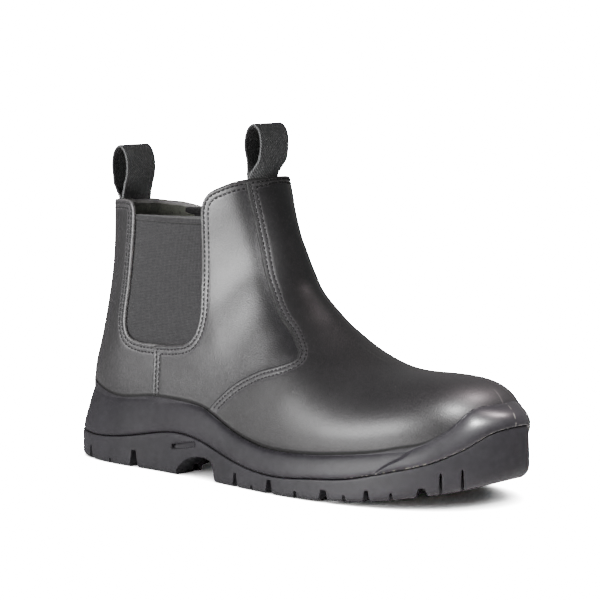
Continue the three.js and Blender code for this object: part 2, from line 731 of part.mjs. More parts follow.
// The heel block's front is hollowed on the inner side.
const breast = new THREE.CylinderGeometry(1, 1, 2 * far, 20);
breast.rotateX(Math.PI / 2);
breast.scale(BREAST_DEPTH, BREAST_WIDTH / 2, 1);
breast.translate(along(ARCH[0].at), BREAST_SHIFT, BREAST_HEIGHT - far);
outsole = outsole.subtract(arch).subtract(welded(breast));

// Webbing loop in side view, as shares of its depth and rise from the inside of the collar.
const LOOP = [
  { into: 0, up: 0 },
  { into: -0.3, up: 0.4 },
  { into: -0.36, up: 0.66 },
  { into: -0.22, up: 0.88 },
  { into: 0.12, up: 0.98 },
  { into: 0.46, up: 0.88 },
  { into: 0.64, up: 0.62 },
  { into: 0.52, up: 0.34 },
];

// Loop sewn inside the collar at a wall, which leans below it: up, round the top and down again
// behind itself. The webbing is bowed round the wall and flattens above it.
function pullLoop(wallX, collar, rise, lean, inward) {
  const half = WEBBING_THICKNESS / 2;
  const near = WALL + 2 * GAP + half;
  const behind = near + WEBBING_THICKNESS + GAP;
  const line = [
    { x: near - lean * LOOP_DROP, z: -LOOP_DROP },
    ...LOOP.map((row) => ({ x: near + row.into * LOOP_DEPTH, z: row.up * rise })),
    { x: behind, z: 0 },
    { x: behind - lean * LOOP_DROP, z: -LOOP_DROP },
  ].map(({ x, z }) => new THREE.Vector3(wallX + inward * x, 0, collar + z));
  const path = new THREE.CatmullRomCurve3(line, false, 'centripetal').getPoints(LOOP_STEPS);
  const across = 2;
  const points = [];
  const faces = [];
  path.forEach((point, i) => {
    const before = path[Math.max(0, i - 1)];
    const after = path[Math.min(path.length - 1, i + 1)];
    const side = new THREE.Vector2(after.z - before.z, before.x - after.x).normalize();
    const flat = THREE.MathUtils.clamp((4 * (point.z - collar - WEBBING_THICKNESS)) / rise, 0, 1);
    for (let k = 0; k <= across; k += 1) {
      const y = (k / across - 0.5) * WEBBING_WIDTH;
      const x = point.x + (inward * (1 - flat) * y * y) / (2 * COLLAR_BEND);
      points.push([x + side.x * half, y, point.z + side.y * half]);
      points.push([x - side.x * half, y, point.z - side.y * half]);
    }
  });
  const row = 2 * (across + 1);
  const quad = (a, b, c, d) => faces.push([a, c, b], [a, d, c]);
  for (let i = 0; i < path.length - 1; i += 1) {
    const a = i * row;
    for (let k = 0; k < across; k += 1) {
      const c = a + 2 * k;
      quad(c, c + row, c + 2 + row, c + 2);
      quad(c + 1, c + 3, c + 3 + row, c + 1 + row);
    }
    quad(a, a + 1, a + 1 + row, a + row);
    quad(a + row - 2, a + 2 * row - 2, a + 2 * row - 1, a + row - 1);
  }
  for (let k = 0; k < across; k += 1) {
    const first = 2 * k;
    const end = (path.length - 1) * row + 2 * k;
    quad(first, first + 2, first + 3, first + 1);
    quad(end, end + 1, end + 3, end + 2);
  }
  return solidOf(points, faces);
}

const collarRow = UPPER[lastSection - 1];
const loopFront = pullLoop(along(collarRow.top), FRONT_COLLAR, FRONT_LOOP_RISE, -FRONT_LEAN, -1);
const loopBack = pullLoop(along(collarRow.rear), BACK_COLLAR, BACK_LOOP_RISE, BACK_LEAN, 1);

const rubber = { color: 0x3f4145, roughness: 0.75, metalness: 0 };
const leather = { color: 0x3a393b, roughness: 0.5, metalness: 0 };
const quarterLeather = { color: 0x454446, roughness: 0.5, metalness: 0 };
const elastic = { color: 0x474748, roughness: 0.9, metalness: 0 };
const webbing = { color: 0x3c3d3e, roughness: 0.9, metalness: 0 };
const foam = { color: 0x2f3133, roughness: 0.9, metalness: 0 };

const boot = new THREE.Group();
boot.name = 'side_gore_work_boot';
boot.add(meshOf('outsole', outsole, rubber));
boot.add(meshOf('midsole', midsole, rubber));
boot.add(meshOf('insole', insole, foam));
boot.add(meshOf('upper', upper, quarterLeather));
boot.add(meshOf('vamp', vamp, leather));
boot.add(meshOf('quarter_outer', quarters.intersect(outerHalf), quarterLeather));
boot.add(meshOf('quarter_inner', quarters.intersect(innerHalf), quarterLeather));
boot.add(meshOf('gore_outer', gores.intersect(outerHalf), elastic));
boot.add(meshOf('gore_inner', gores.intersect(innerHalf), elastic));
boot.add(meshOf('pull_loop_front', loopFront, webbing));
boot.add(meshOf('pull_loop_back', loopBack, webbing));
export default boot;
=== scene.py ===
import bpy
import math
import numpy as np
from mathutils import Matrix, Vector
from mathutils.bvhtree import BVHTree


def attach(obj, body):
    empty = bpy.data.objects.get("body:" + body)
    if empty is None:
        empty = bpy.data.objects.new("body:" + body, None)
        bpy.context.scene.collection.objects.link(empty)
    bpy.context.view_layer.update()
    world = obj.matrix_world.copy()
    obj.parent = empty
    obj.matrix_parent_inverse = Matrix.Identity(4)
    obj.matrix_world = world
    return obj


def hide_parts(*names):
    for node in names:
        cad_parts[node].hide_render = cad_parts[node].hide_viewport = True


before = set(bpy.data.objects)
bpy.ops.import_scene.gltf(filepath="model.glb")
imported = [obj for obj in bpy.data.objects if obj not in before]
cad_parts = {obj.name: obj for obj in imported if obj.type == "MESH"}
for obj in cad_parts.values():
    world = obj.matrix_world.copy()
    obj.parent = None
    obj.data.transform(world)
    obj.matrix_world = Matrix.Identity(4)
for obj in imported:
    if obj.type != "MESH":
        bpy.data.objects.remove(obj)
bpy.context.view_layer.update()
bpy.ops.object.select_all(action="DESELECT")

# Photo studio: a white table, one large soft box in front, two small spots on the toe and a grey
# room that the camera sees as white. The camera is a long lens a little over the floor.
MM = 0.001
TARGET = Vector((4.1, 0.0, 99.7)) * MM
CAMERA_TURN = math.radians(40)
CAMERA_RISE = math.radians(6.54)
CAMERA_DISTANCE = 1500 * MM


def aim(thing, place, target):
    """Puts a lamp or a camera at a place, looking at a target."""
    thing.location = place
    thing.rotation_euler = (target - place).to_track_quat("-Z", "Y").to_euler()


def out_from(target, turn, rise, distance):
    """Place at a distance from a target, by its turn from the front and its rise, in degrees."""
    turn, rise = math.radians(turn), math.radians(rise)
    way = Vector((math.sin(turn) * math.cos(rise), -math.cos(turn) * math.cos(rise), math.sin(rise)))
    return target + way * distance


bpy.ops.object.camera_add()
camera = bpy.context.object
camera.data.sensor_width = 36
camera.data.lens = 161.42
camera.data.clip_end = 20
aim(camera, out_from(TARGET, math.degrees(CAMERA_TURN), math.degrees(CAMERA_RISE), CAMERA_DISTANCE), TARGET)
bpy.context.scene.camera = camera


def soft_box(turn, rise, distance, width, height, power):
    """Area lamp over the boot."""
    bpy.ops.object.light_add(type="AREA")
    lamp = bpy.context.object
    lamp.data.shape = "RECTANGLE"
    lamp.data.size = width
    lamp.data.size_y = height
    lamp.data.energy = power
    aim(lamp, out_from(TARGET, turn, rise, distance), TARGET)
    return lamp


soft_box(-12, 8, 1.0, 0.80, 0.46, 20)
bpy.ops.object.light_add(type="SPOT")
snoot = bpy.context.object
snoot.data.energy = 27
snoot.data.spot_size = math.radians(20)
snoot.data.spot_blend = 1
snoot.data.shadow_soft_size = 60 * MM
aim(snoot, Vector((448, -151, 417)) * MM, Vector((141, -17, 46)) * MM)
bpy.ops.object.light_add(type="SPOT")
snoot = bpy.context.object
snoot.data.energy = 8.5
snoot.data.color = (1.0, 0.87, 0.90)
snoot.data.spot_size = math.radians(26)
snoot.data.spot_blend = 1
snoot.data.shadow_soft_size = 70 * MM
aim(snoot, Vector((313, 213, 468)) * MM, Vector((122, -22, 58)) * MM)

WHITE = 40.0
world = bpy.data.worlds.new("white_room")
bpy.context.scene.world = world
world.use_nodes = True
backdrop = world.node_tree.nodes["Background"]
backdrop.inputs["Strength"].default_value = 1.0
seen = world.node_tree.nodes.new("ShaderNodeLightPath")
tone = world.node_tree.nodes.new("ShaderNodeMix")
tone.data_type = "RGBA"
tone.inputs[7].default_value = (WHITE, WHITE, WHITE, 1)
sky = world.node_tree.nodes.new("ShaderNodeTexCoord")
parts = world.node_tree.nodes.new("ShaderNodeSeparateXYZ")
fade = world.node_tree.nodes.new("ShaderNodeMapRange")
room = world.node_tree.nodes.new("ShaderNodeMix")
room.data_type = "RGBA"
room.inputs[6].default_value = (0.31, 0.31, 0.31, 1)
room.inputs[7].default_value = (0.12, 0.12, 0.12, 1)
fade.inputs["From Min"].default_value = 0.15
fade.inputs["From Max"].default_value = 0.75
world.node_tree.links.new(sky.outputs["Generated"], parts.inputs[0])
world.node_tree.links.new(parts.outputs["Z"], fade.inputs["Value"])
world.node_tree.links.new(fade.outputs[0], room.inputs[0])
world.node_tree.links.new(room.outputs[2], tone.inputs[6])
world.node_tree.links.new(seen.outputs["Is Camera Ray"], tone.inputs[0])
world.node_tree.links.new(tone.outputs[2], backdrop.inputs["Color"])


class Wire:
    """A socket of a finish. Sums, products and powers of it add Math nodes."""

    def __init__(self, finish, socket):
        self.finish = finish
        self.socket = socket

    def with_other(self, operation, first, second):
        return self.finish.node("ShaderNodeMath", {"operation": operation}, [first, second])

    def __add__(self, other):
        return self.with_other("ADD", self, other)

    def __sub__(self, other):
        return self.with_other("SUBTRACT", self, other)

    def __rsub__(self, other):
        return self.with_other("SUBTRACT", other, self)

    def __mul__(self, other):
        return self.with_other("MULTIPLY", self, other)

    def __truediv__(self, other):
        return self.with_other("DIVIDE", self, other)

    def __pow__(self, other):
        return self.with_other("POWER", self, other)

    def __gt__(self, other):
        return self.with_other("GREATER_THAN", self, other)

    def __lt__(self, other):
        return self.with_other("LESS_THAN", self, other)

    __radd__ = __add__
    __rmul__ = __mul__


class Finish:
    """A node material with one Principled shader."""

    def __init__(self, name, **settings):
        self.material = bpy.data.materials.new(name)
        self.material.use_nodes = True
        self.tree = self.material.node_tree
        self.shader = self.tree.nodes["Principled BSDF"]
        for socket, value in settings.items():
            self.shader.inputs[socket.replace("_", " ")].default_value = value

    def node(self, kind, settings=None, inputs=(), output=0):
        """Adds a node: its settings first, then values or wires for its sockets by number or name."""
        made = self.tree.nodes.new(kind)
        for key, value in (settings or {}).items():
            setattr(made, key, value)
        pairs = inputs.items() if isinstance(inputs, dict) else enumerate(inputs)
        for key, value in pairs:
            if isinstance(value, Wire):
                self.tree.links.new(value.socket, made.inputs[key])
            elif value is not None:
                made.inputs[key].default_value = value
        return Wire(self, made.outputs[output])

    def place(self, axis=None):
        """Object coordinates in metres, or one of them."""
        whole = self.node("ShaderNodeTexCoord", output="Object")
        if axis is None:
            return whole
        return self.node("ShaderNodeSeparateXYZ", None, [whole], output="XYZ".index(axis))

    def mark(self, name):
        """A value kept on the piece's points."""
        return self.node("ShaderNodeAttribute", {"attribute_name": name}, output="Fac")

    def noise(self, size, detail=2.0, where=None):
        """Soft noise with grains of a size in millimetres, about 0 to 1."""
        inputs = {"Vector": where or self.place(), "Scale": 1 / (size * MM), "Detail": detail}
        return self.node("ShaderNodeTexNoise", None, inputs)

    def cells(self, size, where=None):
        """Distance to the middle of small cells of a size in millimetres."""
        inputs = {"Vector": where or self.place(), "Scale": 1 / (size * MM)}
        return self.node("ShaderNodeTexVoronoi", {"feature": "F1"}, inputs)

    def ramp(self, value, low, high):
        """0 below low, 1 above high, soft between."""
        settings = {"interpolation_type": "SMOOTHSTEP"}
        return self.node("ShaderNodeMapRange", settings, {"Value": value, "From Min": low, "From Max": high})

    def mix(self, share, first, second):
        """A colour between two."""
        inputs = {0: share, 6: first, 7: second}
        return self.node("ShaderNodeMix", {"data_type": "RGBA"}, inputs, output=2)

    def wear(self, socket, value):
        """Feeds a socket of the shader."""
        self.tree.links.new(value.socket, self.shader.inputs[socket])

    def relief(self, height, depth, strength=1.0):
        """Feeds the shader's normal from a height map of a depth in millimetres."""
        inputs = {"Height": height, "Distance": depth * MM, "Strength": strength}
        self.wear("Normal", self.node("ShaderNodeBump", None, inputs))


def colour(red, green, blue):
    return (red, green, blue, 1.0)


table_finish = Finish("white_table", Base_Color=colour(0.93, 0.93, 0.93), Roughness=0.6)
table_finish.shader.inputs["Specular IOR Level"].default_value = 0.2
table_finish.shader.inputs["Emission Strength"].default_value = WHITE
seen = table_finish.node("ShaderNodeLightPath")
near = table_finish.node("ShaderNodeAmbientOcclusion", {"samples": 16}, {"Distance": 45 * MM}, output=1)
darkest = table_finish.ramp(table_finish.place("X"), -25 * MM, 45 * MM) * 0.08
shadow = table_finish.ramp(near, darkest, 0.96) ** 1.5
glow = table_finish.mix(seen * shadow, colour(0, 0, 0), colour(1, 1, 1))
table_finish.wear("Emission Color", glow)
bpy.ops.mesh.primitive_plane_add(size=6, location=(0, 0, 0))
table = bpy.context.object
table.name = "table"
table.data.materials.append(table_finish.material)

# The last: every piece of the upper follows one foot-shaped form. Each row is a section across
# the boot, from the toe to the collar, as shares of the boot's main sizes.
SOLE_LENGTH = 300 * MM
SOLE_HALF = 54 * MM
LAST_HALF = 47 * MM
HEEL_BED = 29 * MM
BALL_BED = 17 * MM
TOE_SPRING = 13 * MM
SPRING_START = 0.6
FRONT_COLLAR = 168 * MM
BACK_COLLAR = 150 * MM
WALL = 1.8 * MM
GAP = 0.3 * MM
SECTIONS = 230
AROUND = 200

SECTION_COLUMNS = ("rear", "rear_z", "top", "top_z", "outer", "inner", "mid", "wide", "low", "high")
SECTION_ROWS = [
    (0.962, 0.11, 0.962, 0.16, 0, 0, 0.12, 0.45, 2, 2),
    (0.958, 0.05, 0.958, 0.216, 0.28, 0.28, 0.12, 0.45, 2.2, 2.1),
    (0.946, 0.015, 0.946, 0.262, 0.5, 0.5, 0.11, 0.42, 2.6, 2.2),
    (0.92, 0.0, 0.92, 0.297, 0.68, 0.67, 0.09, 0.4, 3, 2.3),
    (0.88, 0.0, 0.88, 0.314, 0.82, 0.81, 0.06, 0.38, 3.5, 2.3),
    (0.82, 0.0, 0.82, 0.317, 0.93, 0.93, 0.04, 0.35, 4, 2.2),
    (0.74, 0.0, 0.733, 0.328, 0.99, 0.99, 0.02, 0.32, 4.5, 2.05),
    (0.657, 0.0, 0.64, 0.405, 1.0, 0.96, 0.01, 0.27, 5, 1.9),
    (0.567, 0.0, 0.574, 0.515, 0.95, 0.88, 0.01, 0.22, 5, 1.8),
    (0.473, 0.0, 0.537, 0.594, 0.86, 0.77, 0.01, 0.2, 5, 1.85),
    (0.373, 0.0, 0.5235, 0.65, 0.78, 0.71, 0.01, 0.2, 5, 1.95),
    (0.26, 0.0, 0.5135, 0.697, 0.73, 0.69, 0.0, 0.21, 5, 2.1),
    (0.147, 0.0, 0.5055, 0.735, 0.7, 0.68, 0.0, 0.23, 4.4, 2.2),
    (0.06, 0.02, 0.4985, 0.762, 0.69, 0.68, 0.0, 0.27, 3, 2.25),
    (0.025, 0.115, 0.491, 0.795, 0.68, 0.68, 0.0, 0.31, 2.4, 2.25),
    (0.032, 0.255, 0.483, 0.837, 0.67, 0.67, 0.0, 0.36, 2.3, 2.25),
    (0.048, 0.43, 0.4735, 0.886, 0.67, 0.67, 0.0, 0.41, 2.25, 2.25),
    (0.064, 0.62, 0.466, 0.928, 0.68, 0.68, 0.0, 0.44, 2.25, 2.25),
    (0.073, 0.81, 0.459, 0.967, 0.69, 0.69, 0.0, 0.46, 2.25, 2.25),
    (0.075, 1.01, 0.453, 1.01, 0.7, 0.7, 0.0, 0.47, 2.25, 2.25),
    (0.075, 1.2, 0.45, 1.05, 0.71, 0.71, 0.0, 0.47, 2.25, 2.25),
]
BED_ROWS = [(0.0, 1.0), (0.15, 0.98), (0.3, 0.78), (0.45, 0.28), (0.58, 0.03), (0.68, 0), (0.8, 0), (1, 0.08)]


def along(share):
    return (np.asarray(share) - 0.5) * SOLE_LENGTH


def spline(places, values):
    """Natural cubic spline through values at rising places."""
    places, values = np.asarray(places, float), np.asarray(values, float)
    count = len(places)
    step = np.diff(places)
    slope = np.diff(values) / step
    sums = np.eye(count)
    target = np.zeros(count)
    for i in range(1, count - 1):
        sums[i, i - 1:i + 2] = step[i - 1], 2 * (step[i - 1] + step[i]), step[i]
        target[i] = 6 * (slope[i] - slope[i - 1])
    bend = np.linalg.solve(sums, target)

    def at(place):
        place = np.asarray(place, float)
        i = np.clip(np.searchsorted(places, place) - 1, 0, count - 2)
        h = step[i]
        a = (places[i + 1] - place) / h
        b = 1 - a
        curved = ((a ** 3 - a) * bend[i] + (b ** 3 - b) * bend[i + 1]) * h * h
        return a * values[i] + b * values[i + 1] + curved / 6

    return at


section_at = {
    name: spline(range(len(SECTION_ROWS)), [row[i] for row in SECTION_ROWS])
    for i, name in enumerate(SECTION_COLUMNS)
}
bed_rise = spline(*zip(*BED_ROWS))


def share_of(x):
    return np.asarray(x) / SOLE_LENGTH + 0.5


def ground(x):
    """Height of the curved tread's underside: the toe springs off the floor."""
    past = np.maximum(0, share_of(x) - SPRING_START) / (1 - SPRING_START)
    return TOE_SPRING * past ** 2


def bed(x):
    return BALL_BED + (HEEL_BED - BALL_BED) * bed_rise(share_of(x)) + ground(x)


def section_points(u):
    """Evenly spaced points round section u: up the outer side and down the inner side."""
    row = {name: float(curve(u)) for name, curve in section_at.items()}
    rear = np.array([along(row["rear"]), 0, bed(along(row["rear"])) + row["rear_z"] * (BACK_COLLAR - HEEL_BED)])
    top = np.array([along(row["top"]), 0, BALL_BED + row["top_z"] * (FRONT_COLLAR - BALL_BED)])
    share = (1 - np.cos(np.linspace(0, math.pi, 120))) / 2
    turn = np.concatenate([share * math.pi / 2, math.pi / 2 + share[1:] * math.pi / 2])
    sides = []
    for side, half in ((-1, row["outer"]), (1, row["inner"])):
        power = np.where(turn < math.pi / 2, 2 / row["low"], 2 / row["high"])
        reach = np.abs(np.cos(turn)) ** power
        up = np.where(turn < math.pi / 2, row["wide"] * (1 - reach), row["wide"] + (1 - row["wide"]) * reach)
        across = side * half * LAST_HALF * np.abs(np.sin(turn)) ** power + row["mid"] * LAST_HALF
        line = rear + up[:, None] * (top - rear)
        line[:, 1] = across
        length = np.concatenate([[0], np.cumsum(np.linalg.norm(np.diff(line, axis=0), axis=1))])
        even = np.linspace(0, length[-1], AROUND // 2 + 1)
        sides.append(np.column_stack([np.interp(even, length, line[:, k]) for k in range(3)]))
    return np.vstack([sides[0], sides[1][-2:0:-1]])


# Soft troughs and ridges of the leather in side view: a line of points, side of the boot, half
# width and height. They are the dents that lasting and the box left in a boot never worn.
CREASES = [
    ([(26, 88), (10, 74), (-2, 60)], -1, 9, -0.5),
    ([(52, 70), (40, 62), (30, 50)], -1, 10, 0.35),
    ([(-70, 60), (-40, 56), (-14, 60)], -1, 8, -0.35),
    ([(-34, 120), (-36, 95), (-30, 78)], -1, 7, 0.3),
    ([(-6, 112), (2, 96), (14, 84)], -1, 7, -0.35),
    ([(60, 34), (84, 36), (104, 42)], -1, 7, 0.3),
    ([(26, 88), (10, 74), (-2, 60)], 1, 9, -0.5),
    ([(-70, 60), (-40, 56), (-14, 60)], 1, 8, -0.35),
    ([(-34, 120), (-36, 95), (-30, 78)], 1, 7, 0.3),
    ([(-136, 70), (-134, 92), (-130, 112)], -1, 9, -0.3),
]


def distance_to(line, x, z, normals=None):
    """Distance from points to a line of straight pieces in side view, and the side they are on."""
    best = np.full(x.shape, 1e9)
    hand = np.ones(x.shape)
    ways = np.zeros(x.shape + (2,))
    for (ax, az), (bx, bz) in zip(line[:-1], line[1:]):
        dx, dz = bx - ax, bz - az
        share = np.clip(((x - ax) * dx + (z - az) * dz) / (dx * dx + dz * dz + 1e-18), 0, 1)
        ox, oz = x - ax - share * dx, z - az - share * dz
        far = np.hypot(ox, oz)
        nearer = far < best
        best = np.where(nearer, far, best)
        hand = np.where(nearer, np.sign(dx * oz - dz * ox), hand)
        ways = np.where(nearer[..., None], np.stack([ox, oz], axis=-1) / (far[..., None] + 1e-12), ways)
    if normals is not None:
        rise = (normals[:, 0] * ways[:, 0] + normals[:, 2] * ways[:, 1]) / np.maximum(np.abs(normals[:, 1]), 0.2)
        best = best * np.sqrt(1 + rise ** 2)
    return best, hand


last_points = np.array([section_points(u) for u in np.linspace(0.02, len(SECTION_ROWS) - 1.4, SECTIONS)])
run_along = np.gradient(last_points, axis=0)
run_round = (np.roll(last_points, -1, axis=1) - np.roll(last_points, 1, axis=1)) / 2
last_normals = np.cross(run_along, run_round)
last_normals /= np.linalg.norm(last_normals, axis=2, keepdims=True) + 1e-12
middle = last_points.mean(axis=1, keepdims=True)
if (last_normals * (last_points - middle)).sum() < 0:
    last_normals = -last_normals
is_outer = np.zeros(last_points.shape[:2], bool)
is_outer[:, :AROUND // 2 + 1] = True
for line, side, width, height in CREASES:
    line = [(x * MM, z * MM) for x, z in line]
    away, _ = distance_to(line, last_points[..., 0], last_points[..., 2])
    swell = height * MM * np.exp(-(away / (width * MM)) ** 2) * (is_outer == (side < 0))
    last_points = last_points + last_normals * swell[..., None]

sheet_points = last_points.reshape(-1, 3)
sheet_normals = last_normals.reshape(-1, 3)
sheet_outer = is_outer.reshape(-1)
sheet_faces = []
for i in range(SECTIONS - 1):
    for j in range(AROUND):
        a, b = i * AROUND + j, i * AROUND + (j + 1) % AROUND
        sheet_faces.append((a, b, b + AROUND, a + AROUND))
first = sheet_faces[AROUND * (SECTIONS // 2) + AROUND // 4]
corner = sheet_points[list(first)]
if np.dot(np.cross(corner[1] - corner[0], corner[2] - corner[0]), sheet_normals[first[0]]) < 0:
    sheet_faces = [face[::-1] for face in sheet_faces]

# Cutting lines of the leather in side view, as shares of the sole's length and of the front
# collar's height: the collar with the gore's notch, and the rear edge of the vamp.
GORE_WIDTH = 56 * MM
GORE_HEIGHT = 73.5 * MM
GORE_BOTTOM = 71.3 * MM
GORE_REAR = along(0.1665)
SEAM = float(along(0.243))
BACK_EDGE = [
    (0.0, 0.893, 0.893), (0.04, 0.895, 0.893), (0.08, 0.898, 0.893), (0.115, 0.903, 0.884), (0.14, 0.907, 0.88),
    (0.165, 0.908, 0.871), (0.178, 0.904, 0.866), (0.1855, 0.885, 0.8635),
]
FRONT_EDGE = [
    (0.355, 0.9), (0.361, 0.928), (0.372, 0.95), (0.39, 0.967), (0.42, 0.989), (0.46, 1.002), (0.6, 1.03),
]
GORE = [
    (0.11, 1.0), (0.065, 0.68), (0.02, 0.43), (-0.025, 0.2), (-0.015, 0.11), (0.04, 0.04), (0.15, 0.008),
    (0.4, 0.0), (0.72, 0.012), (0.88, 0.045), (0.965, 0.12), (1.0, 0.24), (0.99, 0.46), (0.995, 0.72), (1.0, 0.95),
]
VAMP_EDGE = [
    (0.4215, 1.06), (0.433, 0.968), (0.4455, 0.875), (0.4605, 0.775), (0.4805, 0.68), (0.4975, 0.623),
    (0.5125, 0.58), (0.5345, 0.536), (0.5605, 0.497), (0.579, 0.465), (0.592, 0.439), (0.593, 0.424),
    (0.5835, 0.413), (0.558, 0.398), (0.53, 0.384), (0.5, 0.3625), (0.468, 0.334), (0.443, 0.3035),
    (0.4185, 0.269), (0.396, 0.23), (0.371, 0.17), (0.346, 0.08),
]


def curve_through(points, closed=False, per_piece=10):
    """Centripetal Catmull-Rom curve through points."""
    points = np.asarray(points, float)
    count = len(points)
    if closed:
        padded = np.vstack([points[-1], points, points[0], points[1]])
    else:
        padded = np.vstack([2 * points[0] - points[1], points, 2 * points[-1] - points[-2]])
    out = []
    for i in range(count if closed else count - 1):
        p0, p1, p2, p3 = padded[i:i + 4]
        d0, d1, d2 = (max(np.linalg.norm(b - a), 1e-9) ** 0.5 for a, b in ((p0, p1), (p1, p2), (p2, p3)))
        t1 = ((p1 - p0) / d0 - (p2 - p0) / (d0 + d1) + (p2 - p1) / d1) * d1
        t2 = ((p2 - p1) / d1 - (p3 - p1) / (d1 + d2) + (p3 - p2) / d2) * d1
        t = np.linspace(0, 1, per_piece, endpoint=False)[:, None]
        out.append(p1 + t * t1 + t ** 2 * (3 * (p2 - p1) - 2 * t1 - t2) + t ** 3 * (2 * (p1 - p2) + t1 + t2))
    if not closed:
        out.append(points[-1:])
    return np.vstack(out)


def rim_line(column):
    """The leather's upper edge on one side: collar, down round the gore and up to the front."""
    back = [(along(row[0]), row[column] * FRONT_COLLAR) for row in BACK_EDGE]
    gore = [(GORE_REAR + across * GORE_WIDTH, GORE_BOTTOM + up * GORE_HEIGHT) for across, up in GORE]
    front = [(along(at), z * FRONT_COLLAR) for at, z in FRONT_EDGE]
    return curve_through(back + gore + front)


def inside_rim(x, z, outer_side, normals):
    """Distance inside the leather's upper edge, negative in the gore and over the collar."""
    inside = np.zeros(x.shape)
    for column, chosen in ((1, outer_side), (2, ~outer_side)):
        far, hand = distance_to(rim_line(column), x, z, normals)
        inside = np.where(chosen, -far * hand, inside)
    return inside


def ahead_of_vamp(x, z, normals):
    line = curve_through([(along(at), up * FRONT_COLLAR) for at, up in VAMP_EDGE])
    far, hand = distance_to(line, x, z, normals)
    return far * hand


rim_depth = inside_rim(sheet_points[:, 0], sheet_points[:, 2], sheet_outer, sheet_normals)
vamp_depth = ahead_of_vamp(sheet_points[:, 0], sheet_points[:, 2], sheet_normals)
DEPTH = 6


def split(rows, faces, level, drop):
    """Cuts faces along a line of equal depth. Returns rows, faces and the pieces of that line."""
    above = (rows[:, DEPTH] > level).tolist()
    made = {}
    added = []
    line = []

    def between(a, b):
        key = (a, b) if a < b else (b, a)
        if key not in made:
            first, last = rows[key[0]], rows[key[1]]
            share = (level - first[DEPTH]) / (last[DEPTH] - first[DEPTH])
            made[key] = len(rows) + len(added)
            fresh = first + share * (last - first)
            fresh[DEPTH] = level
            added.append(fresh)
        return made[key]

    out = []
    for face in faces:
        flags = [above[i] for i in face]
        if all(flags):
            out.append(face)
            continue
        if not any(flags):
            if not drop:
                out.append(face)
            continue
        high, low, cuts = [], [], []
        for k, a in enumerate(face):
            b = face[(k + 1) % len(face)]
            (high if above[a] else low).append(a)
            if above[a] != above[b]:
                cut = between(a, b)
                high.append(cut)
                low.append(cut)
                cuts.append(cut)
        out.append(tuple(high))
        if not drop and len(low) > 2:
            out.append(tuple(low))
        if len(cuts) == 2:
            line.append(tuple(cuts))
    if added:
        rows = np.vstack([rows, np.array(added)])
    return rows, out, line


def chains(pieces):
    """Joins pieces of a line end to end."""
    near = {}
    for a, b in pieces:
        near.setdefault(a, []).append(b)
        near.setdefault(b, []).append(a)
    left = set(near)
    starts = [i for i in near if len(near[i]) == 1] + list(near)
    out = []
    for start in starts:
        if start not in left:
            continue
        chain = [start]
        left.discard(start)
        while True:
            onward = [i for i in near[chain[-1]] if i in left]
            if not onward:
                break
            chain.append(onward[0])
            left.discard(onward[0])
        out.append(chain)
    return out


def cut_panel(depth, levels, low_limit=None):
    """Part of the lasted sheet with depth over 0, with lines added at more depths."""
    marks = np.column_stack([rim_depth, vamp_depth, sheet_outer])
    rows = np.column_stack([sheet_points, sheet_normals, depth, marks])
    low = sheet_points[:, 2] < bed(sheet_points[:, 0]) + (low_limit if low_limit is not None else -1)
    low = low.tolist()
    faces = [face for face in sheet_faces if not all(low[i] for i in face)]
    lines = {}
    for level in [0.0] + [level * MM for level in levels]:
        rows, faces, line = split(rows, faces, level, level == 0.0)
        lines[round(level / MM, 2)] = chains(line)
    return rows, faces, lines


def panel(name, rows, faces, outer, inner):
    """Closed leather piece between two heights over the last, welded along its cut edge."""
    used = np.zeros(len(rows), bool)
    used[np.unique(np.concatenate([np.array(face) for face in faces]))] = True
    number = np.cumsum(used) - 1
    kept = rows[used]
    outer, inner = outer[used], inner[used]
    on_edge = (kept[:, DEPTH] < 1e-9) & (np.abs(outer - inner) < 1e-6)
    count = len(kept)
    below = np.where(on_edge, np.arange(count), count + np.cumsum(~on_edge) - 1)
    top = kept[:, :3] + kept[:, 3:6] * outer[:, None]
    bottom = (kept[:, :3] + kept[:, 3:6] * inner[:, None])[~on_edge]
    number_list, below_list = number.tolist(), below.tolist()
    tops = [tuple(number_list[i] for i in face) for face in faces]
    bottoms = [tuple(below_list[i] for i in reversed(face)) for face in tops]
    mesh = bpy.data.meshes.new(name)
    mesh.from_pydata(np.vstack([top, bottom]).tolist(), [], tops + bottoms)
    depth = np.concatenate([kept[:, DEPTH], kept[~on_edge, DEPTH]]) / MM
    rim = np.concatenate([kept[:, DEPTH + 1], kept[~on_edge, DEPTH + 1]]) / MM
    for mark, values in (("edge", depth), ("rim", rim)):
        mesh.attributes.new(mark, "FLOAT", "POINT").data.foreach_set("value", values.astype(np.float32))
    piece = bpy.data.objects.new(name, mesh)
    bpy.context.collection.objects.link(piece)
    bpy.ops.object.select_all(action="DESELECT")
    piece.select_set(True)
    bpy.context.view_layer.objects.active = piece
    bpy.ops.object.shade_smooth_by_angle(angle=math.radians(60))
    return piece


def rounded(depth, radius):
    """0 at a cut edge, 1 inside it, along a quarter circle."""
    share = np.clip(depth / (radius * MM), 0, 1)
    return np.sqrt(np.clip(1 - (1 - share) ** 2, 0, 1))


# Threads: black polyester in double rows along every edge. One stitch is modelled and copied
# along each row, half sunk in the trough that its tension pulls into the leather.
ROW_ONE = 2.5
ROW_TWO = 5.1
STITCH_PITCH = 2.7
TROUGH_LINES = [1.9, 2.5, 3.1, 4.5, 5.1, 5.7]
EDGE_LINES = [0.12, 0.35, 0.7, 1.1]
stitch_places = []

